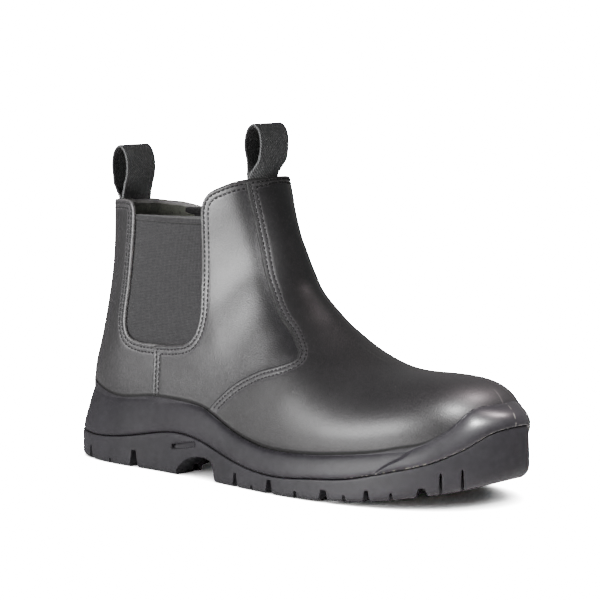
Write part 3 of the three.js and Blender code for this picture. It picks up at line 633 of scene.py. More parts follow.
bpy.ops.mesh.primitive_uv_sphere_add(segments=8, ring_count=6, radius=1)
one_stitch = bpy.context.object
bpy.ops.object.mode_set(mode="EDIT")
bpy.ops.transform.rotate(value=math.radians(90), orient_axis="Y", center_override=(0, 0, 0))
bpy.ops.transform.resize(value=(1.05 * MM, 0.5 * MM, 0.42 * MM), center_override=(0, 0, 0))
bpy.ops.object.mode_set(mode="OBJECT")
stitch_shape = np.array([v.co[:] for v in one_stitch.data.vertices])
stitch_faces = [tuple(p.vertices) for p in one_stitch.data.polygons]
bpy.data.objects.remove(one_stitch)


def trough(depth):
    """Dip of the leather along the two rows of stitches."""
    one = np.exp(-((depth / MM - ROW_ONE) / 0.55) ** 2)
    two = np.exp(-((depth / MM - ROW_TWO) / 0.55) ** 2)
    return 0.24 * MM * (one + two)


def sew(rows, heights, chain, chosen, pitch=STITCH_PITCH):
    """Notes a stitch at each pitch along a chain of points, where chosen says so."""
    place = rows[chain, :3] + rows[chain, 3:6] * heights[chain][:, None]
    if len(chain) < 3:
        return
    length = np.concatenate([[0], np.cumsum(np.linalg.norm(np.diff(place, axis=0), axis=1))])
    keep = np.concatenate([[True], np.diff(length) > 1e-7])
    length, place, table_rows = length[keep], place[keep], rows[chain][keep]
    for at in np.arange(pitch / 2, length[-1] / MM, pitch) * MM:
        centre = np.array([np.interp(at, length, place[:, k]) for k in range(3)])
        before = np.array([np.interp(at - 0.8 * MM, length, place[:, k]) for k in range(3)])
        after = np.array([np.interp(at + 0.8 * MM, length, place[:, k]) for k in range(3)])
        facts = np.array([np.interp(at, length, table_rows[:, k]) for k in range(table_rows.shape[1])])
        if chosen(facts):
            stitch_places.append((centre, after - before, facts[3:6]))


# Back quarter: one piece of smooth black side leather round the heel, folded in at the collar
# and along the gore. The front quarters lap over its vertical edges.
back_depth = np.minimum(rim_depth, SEAM + 7 * MM - sheet_points[:, 0])
back_rows, back_faces, back_lines = cut_panel(back_depth, EDGE_LINES + TROUGH_LINES, -2 * MM)
seam_free = np.clip((SEAM + 7 * MM - back_rows[:, 0] - back_rows[:, DEPTH + 1]) / (3 * MM), 0, 1)
back_outer = -WALL / 2 + WALL / 2 * rounded(back_rows[:, DEPTH], 1.3) - trough(back_rows[:, DEPTH + 1])
back_inner = np.full(len(back_rows), -WALL / 2)
back_quarter = panel("back_quarter", back_rows, back_faces, back_outer, back_inner)
for level in (ROW_ONE, ROW_TWO):
    for chain in back_lines[level]:
        sew(back_rows, back_outer, chain, lambda facts: facts[0] < SEAM - 1 * MM
            and facts[DEPTH + 1] < level * MM + 0.4 * MM)


def leather(name, base, bright, roughness, folds):
    """Smooth dyed leather: fine pebbled grain under a thin finish, with painted highlights on folded edges and over
    the stitch rows, and painted shade along the vamp's cut edge and just above the cup.
    """
    made = Finish(name, Roughness=roughness)
    clouds = made.noise(38, 3)
    mottle = made.noise(2.2, 3)
    pebbles = made.cells(0.75)
    fine = made.noise(0.5, 2)
    crease = made.noise(6, 4)
    shade = clouds * 0.45 + mottle * 0.35 + pebbles * 0.2
    tone = made.mix(made.ramp(shade, 0.3, 0.7), base, bright)
    highlight_patches = made.ramp(made.noise(3, 3), 0.25, 0.6) * 0.6 + 0.4
    depth = made.mark("rim") if folds else made.mark("edge")
    # Painted highlight: the leather over the two stitch rows is made lighter, in patches.
    sewn = made.ramp(depth, 1.2, 1.8) * (1 - made.ramp(depth, 5.9, 6.8))
    tone = made.mix(sewn * highlight_patches * 0.5, tone, colour(0.060, 0.057, 0.060))
    # Painted shade: the leather within about 2.6 mm above the cup's brim is made near black and rougher.
    cup_edge_shade = 1 - made.ramp(made.mark("over_cup"), 0.8, 2.6)
    if folds:
        # Painted highlight: folded edges are made paler, in patches, where they would catch the light.
        fold_highlight = (1 - made.ramp(depth, 0.5, 1.5)) * highlight_patches
        tone = made.mix(fold_highlight, tone, colour(0.105, 0.101, 0.102))
        dull = cup_edge_shade * 0.62
    else:
        # Painted shade: the vamp's cut edge is made near black and rougher.
        cut_edge_shade = 1 - made.ramp(depth, 0.5, 1.4)
        tone = made.mix(cut_edge_shade, tone, colour(0.003, 0.003, 0.003))
        off_line = made.node("ShaderNodeMath", {"operation": "ABSOLUTE"}, [made.place("Y") - 7.6 * MM])
        seam = (1 - made.ramp(off_line, 0.1 * MM, 0.4 * MM)) * made.ramp(made.place("X"), 131 * MM, 134 * MM)
        tone = made.mix(seam * 0.7, tone, colour(0.16, 0.15, 0.15))
        dull = cup_edge_shade * 0.62 + cut_edge_shade * 0.6
    made.wear("Base Color", made.mix(cup_edge_shade * 0.9, tone, colour(0.002, 0.002, 0.002)))
    made.wear("Roughness", clouds * 0.08 + fine * 0.12 + dull + (roughness - 0.10))
    made.relief(pebbles * 0.9 + fine * 0.8 + crease * 0.1 + mottle * 0.2, 0.075)
    made.shader.inputs["Specular IOR Level"].default_value = 0.72
    made.shader.inputs["Coat Weight"].default_value = 0.2
    made.shader.inputs["Coat Roughness"].default_value = 0.3
    return made


quarter_leather = leather("quarter_leather",
    colour(0.0105, 0.0097, 0.0108), colour(0.0190, 0.0176, 0.0194), 0.39, True)
back_quarter.data.materials.append(quarter_leather.material)
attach(back_quarter, "root")
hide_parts("upper")

# Lining: needled textile glued inside the leather, with the collar's leather turned in over it
# in a strip and sewn down. It is open at the gores and shows over them from above.
lining_rows, lining_faces, _ = cut_panel(rim_depth, EDGE_LINES + [2.6, 3.2], -3 * MM)
strip = 0.35 * MM * (1 - np.clip((lining_rows[:, DEPTH + 1] / MM - 2.6) / 0.6, 0, 1))
over_strap = np.clip((20 * MM - np.abs(lining_rows[:, 1])) / (7 * MM), 0, 1)
under_collar = np.clip((26 * MM - lining_rows[:, DEPTH + 1]) / (6 * MM), 0, 1)
strap_cover = 4.4 * MM * over_strap ** 2 * (3 - 2 * over_strap) * under_collar ** 2 * (3 - 2 * under_collar)
lining_inner = -WALL / 2 - (WALL / 2 + strip) * rounded(lining_rows[:, DEPTH], 1.3)
lining_inner -= strap_cover * rounded(lining_rows[:, DEPTH] - 0.4 * MM, 2.4)
lining_outer = np.full(len(lining_rows), -WALL / 2)
lining = panel("lining", lining_rows, lining_faces, lining_outer, lining_inner)


def cloth_lining():
    made = Finish("lining_textile", Roughness=0.9)
    strip_mask = 1 - made.ramp(made.mark("rim"), 2.4, 3.0)
    pile = made.noise(0.9, 4)
    clouds = made.noise(9, 3)
    cloth = made.mix(pile * 0.6 + clouds * 0.4, colour(0.075, 0.080, 0.066), colour(0.21, 0.218, 0.182))
    turned = made.mix(made.noise(2.5, 3), colour(0.26, 0.252, 0.245), colour(0.40, 0.39, 0.38))
    made.wear("Base Color", made.mix(strip_mask, cloth, turned))
    made.wear("Roughness", 0.95 - strip_mask * 0.35)
    made.relief(pile * (1 - strip_mask) + made.cells(0.8) * strip_mask * 0.3, 0.35)
    made.shader.inputs["Sheen Weight"].default_value = 0.25
    made.shader.inputs["Sheen Roughness"].default_value = 0.6
    return made


lining.data.materials.append(cloth_lining().material)
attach(lining, "root")
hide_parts("upper")

# Front quarters, outer and inner: leather cut to run from the gore to the vamp, turned in along
# the gore and the collar, lapped over the back quarter and under the vamp.
QUARTER_TOP = 1.3 * MM
for side, name, node in ((True, "front_quarter_outer", "quarter_outer"),
                         (False, "front_quarter_inner", "quarter_inner")):
    depth = np.minimum(rim_depth, sheet_points[:, 0] - SEAM)
    depth = np.minimum(depth, 9 * MM - vamp_depth)
    depth = np.where(sheet_outer == side, depth, -np.abs(depth) - 1 * MM)
    rows, faces, lines = cut_panel(depth, EDGE_LINES + TROUGH_LINES, -1 * MM)
    at_rim = np.clip(1 - (rows[:, DEPTH + 1] - rows[:, DEPTH]) / (2 * MM), 0, 1)
    low = -WALL / 2 * at_rim + 0.05 * MM * (1 - at_rim)
    radius = 1.5 * at_rim + 1.0 * (1 - at_rim)
    share = np.clip(rows[:, DEPTH] / (radius * MM), 0, 1)
    curl = np.sqrt(np.clip(1 - (1 - share) ** 2, 0, 1))
    heights = low + (QUARTER_TOP - low) * curl - trough(rows[:, DEPTH])
    heights += 0.35 * MM * np.exp(-((rows[:, DEPTH] / MM - 1.5) / 0.8) ** 2) * at_rim
    valley = 0.6 * MM * np.exp(-(np.minimum(rows[:, DEPTH + 2], 0) / (4.5 * MM)) ** 2)
    heights -= np.where(rows[:, 2] > 78 * MM, valley, valley * np.clip((rows[:, 2] / MM - 50) / 28, 0.3, 1))
    quarter = panel(name, rows, faces, heights, np.minimum(low, heights))
    quarter.data.materials.append(quarter_leather.material)
    for level in (ROW_ONE, ROW_TWO):
        for chain in lines[level]:
            sew(rows, heights, chain, lambda facts: facts[DEPTH + 2] < 0.2 * MM and facts[2] > 40 * MM)
    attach(quarter, "root")
    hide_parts(node)

# Vamp: one piece of thicker leather moulded over the toe cap and up the front to the collar. Its
# swept rear edges are sewn down over the quarters with two rows.
VAMP_TOP = 2.1 * MM
depth = np.minimum(rim_depth, vamp_depth)
vamp_rows, vamp_faces, vamp_lines = cut_panel(depth, EDGE_LINES + TROUGH_LINES, 0.5 * MM)
at_rim = np.clip(1 - (vamp_rows[:, DEPTH + 1] - vamp_rows[:, DEPTH]) / (2 * MM), 0, 1)
vamp_low = -WALL / 2 * at_rim + 1.15 * MM * (1 - at_rim)
share = np.clip(vamp_rows[:, DEPTH] / ((1.6 * at_rim + 1.0 * (1 - at_rim)) * MM), 0, 1)
vamp_heights = vamp_low + (VAMP_TOP - vamp_low) * np.sqrt(np.clip(1 - (1 - share) ** 2, 0, 1))
vamp_heights -= trough(vamp_rows[:, DEPTH])
vamp = panel("vamp_leather_piece", vamp_rows, vamp_faces, vamp_heights, np.minimum(vamp_low, vamp_heights))
vamp_leather = leather("vamp_leather",
    colour(0.0095, 0.0088, 0.0095), colour(0.0170, 0.0158, 0.0170), 0.46, False)
vamp.data.materials.append(vamp_leather.material)
for level in (ROW_ONE, ROW_TWO):
    for chain in vamp_lines[level]:
        sew(vamp_rows, vamp_heights, chain, lambda facts: facts[2] > 40 * MM)
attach(vamp, "root")
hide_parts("vamp")

# Gores: covered rubber elastic, woven in fine ribs, with its top edge turned over in a hem. They
# are sewn behind the leather round the notch.
GORE_LAP = 6 * MM
for side, name, node in ((True, "elastic_outer", "gore_outer"), (False, "elastic_inner", "gore_inner")):
    top = GORE_BOTTOM + GORE_HEIGHT - sheet_points[:, 2]
    if side:
        top = top + (sheet_points[:, 0] - GORE_REAR - 28 * MM) * 0.02
    depth = np.minimum(GORE_LAP - rim_depth, top)
    depth = np.minimum(depth, sheet_points[:, 0] - GORE_REAR + GORE_LAP)
    depth = np.minimum(depth, GORE_REAR + GORE_WIDTH + GORE_LAP - sheet_points[:, 0])
    depth = np.where(sheet_outer == side, depth, -np.abs(depth) - 1 * MM)
    rows, faces, _ = cut_panel(depth, [0.2, 0.5, 0.9, 3.4, 3.8, 4.2])
    from_top = GORE_BOTTOM + GORE_HEIGHT - rows[:, 2]
    hem = 0.45 * MM * (1 - np.clip((from_top / MM - 3.4) / 0.5, 0, 1))
    slack = 0.5 * MM * np.sin(np.clip((rows[:, 0] - GORE_REAR) / GORE_WIDTH, 0, 1) * math.pi)
    base = -WALL - GAP - 0.7 * MM - slack
    heights = base + (0.7 * MM + hem) * rounded(rows[:, DEPTH], 0.7)
    under = base - 0.7 * MM * rounded(rows[:, DEPTH], 0.7)
    elastic = panel(name, rows, faces, heights, under)
    drop = GORE_BOTTOM + GORE_HEIGHT - np.array([v.co.z for v in elastic.data.vertices])
    elastic.data.attributes.new("from_top", "FLOAT", "POINT").data.foreach_set("value", (drop / MM).astype(np.float32))
    if side:
        elastic_finish = Finish("gore_elastic", Roughness=0.85)
        across = elastic_finish.place("X")
        up = elastic_finish.place("Z")
        ribs = elastic_finish.node("ShaderNodeMath", {"operation": "SINE"}, [across * (2 * math.pi / (0.95 * MM))])
        picks = elastic_finish.node("ShaderNodeMath", {"operation": "SINE"}, [up * (2 * math.pi / (0.9 * MM))])
        slubs = elastic_finish.noise(1, 3, elastic_finish.node(
            "ShaderNodeMapping", None, {"Vector": elastic_finish.place(), "Scale": (0.25, 0.25, 1.6)}))
        woven = ribs * 0.22 + picks * 0.22 + elastic_finish.noise(0.6, 2) * 0.9 + slubs * 0.7
        shade = elastic_finish.ramp(woven, 0.2, 1.4)
        dark, light = colour(0.0115, 0.0112, 0.0121), colour(0.027, 0.0264, 0.028)
        cloth = elastic_finish.mix(shade, dark, light)
        down = elastic_finish.mark("from_top")
        hem_line = elastic_finish.ramp(down, 3.3, 3.7) * (1 - elastic_finish.ramp(down, 4.0, 4.5))
        cloth = elastic_finish.mix(hem_line, cloth, colour(0.004, 0.004, 0.004))
        # Painted highlight: the hem's folded top edge is made paler.
        hem_fold_highlight = (1 - elastic_finish.ramp(down, 0.5, 1.2)) * 0.5
        elastic_finish.wear("Base Color", elastic_finish.mix(hem_fold_highlight, cloth, colour(0.10, 0.10, 0.10)))
        elastic_finish.wear("Roughness", 0.95 - shade * 0.15)
        elastic_finish.relief(woven, 0.2)
        elastic_finish.shader.inputs["Sheen Weight"].default_value = 0.15
    elastic.data.materials.append(elastic_finish.material)
    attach(elastic, "root")
    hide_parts(node)

# Stitches of the upper, all rows joined in one piece.
all_points, all_faces = [], []
for centre, way, normal in stitch_places:
    way = way / (np.linalg.norm(way) + 1e-12)
    normal = normal / np.linalg.norm(normal)
    across = np.cross(normal, way)
    across /= np.linalg.norm(across) + 1e-12
    turned = stitch_shape @ np.array([way, across, np.cross(way, across)]) + centre + normal * 0.06 * MM
    start = len(all_points) * len(stitch_shape)
    all_points.append(turned)
    all_faces.extend(tuple(start + i for i in face) for face in stitch_faces)
thread_mesh = bpy.data.meshes.new("stitches")
thread_mesh.from_pydata(np.vstack(all_points).tolist(), [], all_faces)
stitches = bpy.data.objects.new("stitches", thread_mesh)
bpy.context.collection.objects.link(stitches)
thread_mesh.polygons.foreach_set("use_smooth", [True] * len(thread_mesh.polygons))
thread = Finish("thread", Roughness=0.6)
twist = thread.noise(0.3, 2)
thread.wear("Base Color", thread.mix(twist, colour(0.002, 0.002, 0.002), colour(0.009, 0.009, 0.010)))
thread.relief(twist, 0.08)
stitches.data.materials.append(thread.material)
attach(stitches, "root")

# Sole: one outline for the moulded cup and the tread. The heights up its side are over the
# curved tread, as in a side view.
OUTLINE = [
    (0.0, 0.0, 0.0), (0.01, 0.29, 0.29), (0.035, 0.5, 0.48), (0.08, 0.63, 0.61), (0.15, 0.71, 0.68),
    (0.27, 0.74, 0.68), (0.4, 0.82, 0.7), (0.5, 0.91, 0.78), (0.6, 0.985, 0.92), (0.66, 1.0, 0.985),
    (0.74, 0.98, 1.0), (0.82, 0.9, 0.93), (0.9, 0.72, 0.79), (0.96, 0.45, 0.57), (0.99, 0.17, 0.36),
    (1.0, -0.1, 0.1),
]
SIDE_COLUMNS = ("at", "base", "part", "outer", "inner", "lean", "curl", "edge", "tuck")
SIDE_ROWS = [
    (0.0, 12, 16, 47, 47, 9, 1.1, 3.5, 0), (0.04, 12, 15.3, 45.5, 45.5, 8.5, 1.1, 3.2, 0),
    (0.08, 12, 14.8, 42.8, 42.8, 7, 1.1, 2.6, 0), (0.14, 12, 15.6, 39, 39.4, 5.5, 1.2, 2, 0),
    (0.19, 13, 17.5, 39.6, 40, 5, 1.3, 2, 0), (0.25, 15, 20.8, 41.8, 42, 4.5, 1.4, 2, 0),
    (0.31, 17, 23.5, 41.8, 42.5, 4.2, 1.6, 2, 0), (0.37, 17, 22.8, 40.3, 42, 4, 1.8, 2, 0),
    (0.41, 16, 20.2, 36.8, 39.5, 3.8, 2, 2, 0), (0.45, 13.5, 16.7, 31.7, 35.5, 3.5, 2, 2, 0),
    (0.5, 10.5, 12.9, 27, 30.5, 3.2, 2, 2, 0), (0.56, 9, 10.3, 23.8, 26, 3, 2, 2, 0),
    (0.62, 8.5, 10, 23.4, 24.2, 3, 2, 2, 0), (0.69, 8.5, 11.2, 23.9, 24, 3, 2, 2, 0),
    (0.76, 8.5, 11.8, 24.8, 24.8, 3, 2, 2, 0), (0.82, 8.5, 13.9, 25.6, 25.6, 3, 2, 2.5, 0),
    (0.865, 8.5, 15.6, 26.9, 26.9, 3.2, 2, 3, 0), (0.895, 8.5, 16.6, 27.8, 27.8, 3.6, 2, 3.5, 0),
    (0.92, 8.5, 18.1, 31, 31, 4, 2, 4, 0), (0.945, 8.5, 20.7, 36, 36, 5, 2, 4.5, 0.3),
    (0.965, 8.5, 23.6, 41, 41, 6.8, 2.3, 6, 0.7), (0.985, 8.5, 28, 42, 42, 8.6, 2.4, 7.5, 1.1),
    (1.0, 8.5, 29.5, 41, 41, 9.4, 2.6, 8.5, 1.3),
]
side_at = {
    name: spline([row[0] for row in SIDE_ROWS], [row[i] for row in SIDE_ROWS])
    for i, name in enumerate(SIDE_COLUMNS)
}


def sole_ring(stations):
    """Points round the sole by stations along its length, their outward ways and their side."""
    outer = [(along(at), -wide * SOLE_HALF) for at, wide, _ in OUTLINE]
    inner = [(along(at), wide * SOLE_HALF) for at, _, wide in OUTLINE[1:-1]]
    fine = curve_through(outer + inner[::-1], closed=True, per_piece=60)
    heel, toe = fine[:, 0].argmin(), fine[:, 0].argmax()
    fine = np.roll(fine, -heel, axis=0)
    toe = (toe - heel) % len(fine)
    sides = (fine[:toe + 1], np.vstack([fine[:1], fine[:toe - 1:-1]]))
    x = fine[0, 0] + (fine[toe, 0] - fine[0, 0]) * (1 - np.cos(np.linspace(0, math.pi, stations + 1))) / 2
    y = [np.interp(x, side[:, 0], side[:, 1]) for side in sides]
    ring = np.vstack([np.column_stack([x, y[0]]), np.column_stack([x, y[1]])[-2:0:-1]])
    ring[0], ring[stations] = fine[0], fine[toe]
    way = np.roll(ring, -1, axis=0) - np.roll(ring, 1, axis=0)
    way = np.column_stack([way[:, 1], -way[:, 0]])
    way /= np.linalg.norm(way, axis=1, keepdims=True)
    is_inner = np.arange(len(ring)) > stations
    return ring, way, is_inner


def side_height(column, x):
    return side_at[column](share_of(x)) * MM + ground(x)


def ring_body(name, ring, way, levels, caps):
    """Rings stacked from a list of (inset, height) arrays, closed across if asked."""
    stations = len(ring) // 2
    count = len(ring)
    points = []
    for inset, height in levels:
        flat = ring - way * np.asarray(inset)[..., None]
        points.append(np.column_stack([flat, np.broadcast_to(height, count)]))
    faces = []
    for level in range(len(levels) - 1):
        for i in range(count):
            a, b = level * count + i, level * count + (i + 1) % count
            faces.append((a, b, b + count, a + count))
    top = (len(levels) - 1) * count
    if caps:
        for i in range(stations):
            across = [i, i + 1, count - i - 1, (count - i) % count]
            across = [k for n, k in enumerate(across) if k not in across[:n]]
            faces.append(tuple(reversed(across)))
            faces.append(tuple(top + k for k in across))
    mesh = bpy.data.meshes.new(name)
    mesh.from_pydata(np.vstack(points).tolist(), [], faces)
    body = bpy.data.objects.new(name, mesh)
    bpy.context.collection.objects.link(body)
    return body


def surface_of(*things):
    """Ray tester for finished pieces."""
    points, faces = [], []
    for thing in things:
        start = len(points)
        points.extend(v.co[:] for v in thing.data.vertices)
        faces.extend(tuple(start + i for i in p.vertices) for p in thing.data.polygons)
    return BVHTree.FromPolygons(points, faces)


# Cup of the sole: black foamed rubber moulded round the lasted upper, proud over the toe where
# a bumper sweeps up. A groove runs between its lip and the leather.
BUMPER_STEP = 0.9
BUMPER_LINE = [
    (0.79, -20), (0.795, 4), (0.802, 12), (0.822, 19.4), (0.845, 24.4), (0.867, 28.1), (0.881, 32),
    (0.9, 38), (0.91, 60),
]
ring, way, is_inner = sole_ring(380)
x = ring[:, 0]
part = side_height("part", x) + GAP
rim_height = np.where(is_inner, side_height("inner", x), side_height("outer", x))
lean = side_at["lean"](share_of(x)) * MM
curl = side_at["curl"](share_of(x))
leather_face = surface_of(vamp, back_quarter, bpy.data.objects["front_quarter_outer"],
                          bpy.data.objects["front_quarter_inner"])
room = np.zeros(len(ring))
for i, (flat, out) in enumerate(zip(ring, way)):
    start = Vector((flat[0] + out[0] * 5 * MM, flat[1] + out[1] * 5 * MM, rim_height[i] + 1.0 * MM))
    hit = leather_face.ray_cast(start, Vector((-out[0], -out[1], 0)), 60 * MM)
    room[i] = (hit[3] - 5 * MM) if hit[0] is not None else lean[i] + 4 * MM
smooth_room = room.copy()
for _ in range(6):
    smooth_room = (np.roll(smooth_room, 1) + 2 * smooth_room + np.roll(smooth_room, -1)) / 4
for lasted in (vamp, back_quarter, bpy.data.objects["front_quarter_outer"],
               bpy.data.objects["front_quarter_inner"]):
    co = np.array([v.co[:] for v in lasted.data.vertices])
    brim = np.where(co[:, 1] > 4 * MM, side_height("inner", co[:, 0]), side_height("outer", co[:, 0]))
    over = ((co[:, 2] - brim) / MM).astype(np.float32)
    lasted.data.attributes.new("over_cup", "FLOAT", "POINT").data.foreach_set("value", over)
bumper_line = curve_through([(along(at), z * MM) for at, z in BUMPER_LINE])
SIDE_PROFILE = [(0, 1.4), (0.012, 0.9), (0.035, 0.5), (0.08, 0.22), (0.14, 0.08), (0.22, 0.0), (0.3, 0.0), (0.38, 0.0),
                (0.46, 0.0), (0.54, 0.0), (0.6, 0.0), (0.66, 0.0), (0.72, 0.02), (0.78, 0.05), (0.83, 0.1),
                (0.88, 0.2), (0.92, 0.38), (0.955, 0.68), (0.98, 1.05), (0.995, 1.5), (1.0, 1.95)]
tuck = side_at["tuck"](share_of(x)) * MM
lip_over = (0.45 + 1.0 * np.clip((x / MM + 130) / 50, 0, 1)) * MM
levels = [(np.full(len(ring), 5 * MM), part)]
for share in np.concatenate([np.linspace(0, 0.1, 8)[:-1], np.linspace(0.1, 0.86, 34)[:-1], np.linspace(0.86, 1, 12)]):
    extra = max(float(np.interp(share, *zip(*SIDE_PROFILE))), 0)
    height = part + (rim_height - part) * share
    inset = tuck + lean * share ** curl
    away, hand = distance_to(bumper_line, x, height)
    step = np.clip(away * hand * -1 / (0.8 * MM) * 0.5 + 0.5, 0, 1)
    proud = BUMPER_STEP * MM * step * step * (3 - 2 * step) * 1.6
    proud = np.where(x > along(0.7), proud, 0)
    levels.append((np.minimum(inset + extra * MM - proud, smooth_room - lip_over), height))
groove = (0.25 + 1.15 * np.clip((x / MM + 70) / 80, 0, 1)) * MM
levels.append((np.maximum(smooth_room - groove, levels[-1][0] + 0.2 * MM), rim_height - 0.15 * MM))
levels.append((np.maximum(smooth_room - groove + 0.2 * MM, levels[-1][0] + 0.15 * MM), rim_height - 1.0 * MM))
levels.append((smooth_room - groove + 0.3 * MM, rim_height - 2.6 * MM))
levels.append((smooth_room + 2.0 * MM, rim_height - 2.9 * MM))
# Painted shade: the groove rows of the cup are marked so that their colour is made near black.
groove_shade_mask = np.zeros(len(levels) * len(ring), np.float32)
groove_shade_mask[-3 * len(ring):] = 1
cup = ring_body("sole_cup", ring, way, levels, False)
rise = np.concatenate([height - part for _, height in levels]) / MM
cup.data.attributes.new("over_part", "FLOAT", "POINT").data.foreach_set("value", rise.astype(np.float32))
cup.data.attributes.new("groove", "FLOAT", "POINT").data.foreach_set("value", groove_shade_mask)
bpy.ops.object.select_all(action="DESELECT")
cup.select_set(True)
bpy.context.view_layer.objects.active = cup
bpy.ops.object.shade_smooth_by_angle(angle=math.radians(50))


def rubber(name, base, bright, roughness, crumbs):
    """Moulded rubber: nearly matte, with a fine spark-eroded texture and faint flow clouds."""
    made = Finish(name, Roughness=roughness)
    clouds = made.noise(30, 3)
    fine = made.noise(0.45, 3)
    mid = made.noise(4, 3)
    tone = made.mix(made.ramp(clouds * 0.6 + mid * 0.4, 0.35, 0.65), base, bright)
    if crumbs:
        near = 1 - made.ramp(made.mark("over_part"), 0.5, 1.1)
        toe = made.ramp(made.place("X"), 60 * MM, 110 * MM)
        broken = made.ramp(made.noise(2.4, 3), 0.53, 0.6)
        tip = made.ramp(made.place("X"), 138 * MM, 141 * MM)
        slant = made.place("Y") + (made.place("X") - 141 * MM) * 0.5
        off_line = made.node("ShaderNodeMath", {"operation": "ABSOLUTE"}, [slant - 7.5 * MM])
        seam = (1 - made.ramp(off_line, 0.15 * MM, 0.45 * MM)) * tip * made.ramp(made.noise(3, 2), 0.4, 0.55)
        tone = made.mix(near * toe * broken * 0.7, tone, colour(0.20, 0.19, 0.17))
        tone = made.mix(seam * 0.8, tone, colour(0.26, 0.25, 0.23))
        # Painted shade: the groove between the lip and the leather is coloured near black.
        tone = made.mix(made.mark("groove"), tone, colour(0.002, 0.002, 0.002))
        made.wear("Coat Weight", made.ramp(made.place("X"), 105 * MM, 128 * MM) * 0.8)
        made.shader.inputs["Coat Roughness"].default_value = 0.27
    made.wear("Base Color", tone)
    made.wear("Roughness", clouds * 0.12 + fine * 0.10 + (roughness - 0.11))
    made.relief(fine * 0.7 + mid * 0.6, 0.10)
    made.shader.inputs["Specular IOR Level"].default_value = 0.33
    return made


cup_rubber = rubber("midsole_rubber",
    colour(0.0150, 0.0138, 0.0166), colour(0.0225, 0.0209, 0.0247), 0.46, True)
cup.data.materials.append(cup_rubber.material)
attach(cup, "root")
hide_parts("midsole")

# Tread: denser nitrile rubber under the cup, with notches cut in from its edge, a channel round
# the middle lugs and a high arch behind a hollowed heel front.
ARCH = [
    (0.322, -0.4), (0.327, 0.25), (0.343, 0.62), (0.366, 0.88), (0.393, 1.0), (0.416, 0.95),
    (0.427, 0.8), (0.434, 0.1), (0.437, -0.4),
]
NOTCHES = [
    (0.078, 4, 8, 26), (0.143, 2.5, 3, 4), (0.209, 6.5, 10, 30), (0.494, 4, 8, 34), (0.54, 2.5, 3, 4),
    (0.587, 5.5, 8, 38), (0.652, 3, 4, 5), (0.716, 6.5, 6, 40), (0.76, 2.5, 3.5, 5), (0.804, 4, 6, 36),
    (0.849, 2.5, 4, 5), (0.9, 7, 5, 28), (0.926, 2, 12, 5), (0.956, 2, 12, 5),
]
tread_ring, tread_way, _ = sole_ring(110)
x = tread_ring[:, 0]
edge = side_at["edge"](share_of(x)) * MM
turns = np.linspace(0, math.pi / 2, 5)
levels = [(edge * (1 - math.sin(a)), ground(x) + edge * (1 - math.cos(a))) for a in turns]
tread_part = side_height("part", x)
tuck = side_at["tuck"](share_of(x)) * MM
for share in (0.25, 0.5, 0.7, 0.85):
    low = ground(x) + edge
    levels.append((tuck * share ** 2, low + (tread_part - low) * share))
levels.append((tuck + 0.05 * MM, tread_part - 0.35 * MM))
levels.append((tuck + 0.45 * MM, tread_part))
levels.append((np.full(len(x), 3 * MM), tread_part))
levels.append((np.full(len(x), 3 * MM), side_height("base", x)))
tread = ring_body("tread", tread_ring, tread_way, levels, True)

SLOT_HALF = 1.4 * MM
bead_places = []
cutters = []
for at, width, height, reach in NOTCHES:
    for inner_side in (False, True):
        x_at = float(along(at))
        choices = [i for i in range(len(tread_ring)) if (i > len(tread_ring) // 2) == inner_side]
        near = min(choices, key=lambda i: abs(tread_ring[i, 0] - x_at))
        out = tread_way[near]
        bpy.ops.mesh.primitive_cube_add(size=1)
        cutter = bpy.context.object
        bpy.ops.object.mode_set(mode="EDIT")
        bpy.ops.transform.resize(value=((reach + 8) * MM, width * MM, 60 * MM), center_override=(0, 0, 0))
        bpy.ops.transform.translate(value=((4 - reach / 2) * MM, 0, -30 * MM))
        bpy.ops.object.mode_set(mode="OBJECT")
        for corner in cutter.data.vertices:
            corner.co.y *= 0.5 if corner.co.z > -1 * MM else 0.5 + 0.55 * 60 / height
        turn = Matrix.Rotation(math.atan2(out[1], out[0]), 4, "Z")
        place = Vector((x_at, tread_ring[near, 1], float(ground(x_at)) + height * MM))
        cutter.data.transform(Matrix.Translation(place) @ turn)
        cutters.append(cutter)
for hand in (-1, 1):
    ends = []
    for at, drop in ((0.317, 7.5), (0.373, 3.5)):
        x_at = float(along(at))
        choices = [i for i in range(len(tread_ring)) if (i > len(tread_ring) // 2) == (hand > 0)]
        near = min(choices, key=lambda i: abs(tread_ring[i, 0] - x_at))
        height = float(side_height("part", x_at)) - drop * MM
        ends.append(Vector((tread_ring[near, 0], tread_ring[near, 1], height)))
    run = ends[1] - ends[0]
    pocket = bpy.data.meshes.new("slot")
    face_way = Vector((0, hand, 0))
    up_way = Vector((0, 0, 1))
    ring_points = []
    for turn in np.linspace(0, 2 * math.pi, 24, endpoint=False):
        half = run * 0.5 * (1 if math.cos(turn) > 0 else -1)
        rim_point = (ends[0] + ends[1]) / 2 + half + run.normalized() * math.cos(turn) * SLOT_HALF
        ring_points.append(rim_point + up_way * math.sin(turn) * SLOT_HALF)
    pocket_points = [q + face_way * 4 * MM for q in ring_points] + [q - face_way * 2.2 * MM for q in ring_points]
    sides = [(i, (i + 1) % 24, (i + 1) % 24 + 24, i + 24) for i in range(24)]
    pocket.from_pydata([q[:] for q in pocket_points], [], sides + [tuple(range(24))[::-1], tuple(range(24, 48))])
    slot_piece = bpy.data.objects.new("slot", pocket)
    bpy.context.collection.objects.link(slot_piece)
    cutters.append(slot_piece)
    for a, b in zip(ring_points, ring_points[1:] + ring_points[:1]):
        steps = max(1, round((b - a).length / (1.5 * MM)))
        for k in range(steps):
            spot = a.lerp(b, k / steps)
            off = (spot - (ends[0] + ends[1]) / 2)
            off.y = 0
            bead_places.append(spot + off.normalized() * 0.7 * MM)
bpy.ops.mesh.primitive_cylinder_add(vertices=40, radius=1, depth=1)
hollow = bpy.context.object
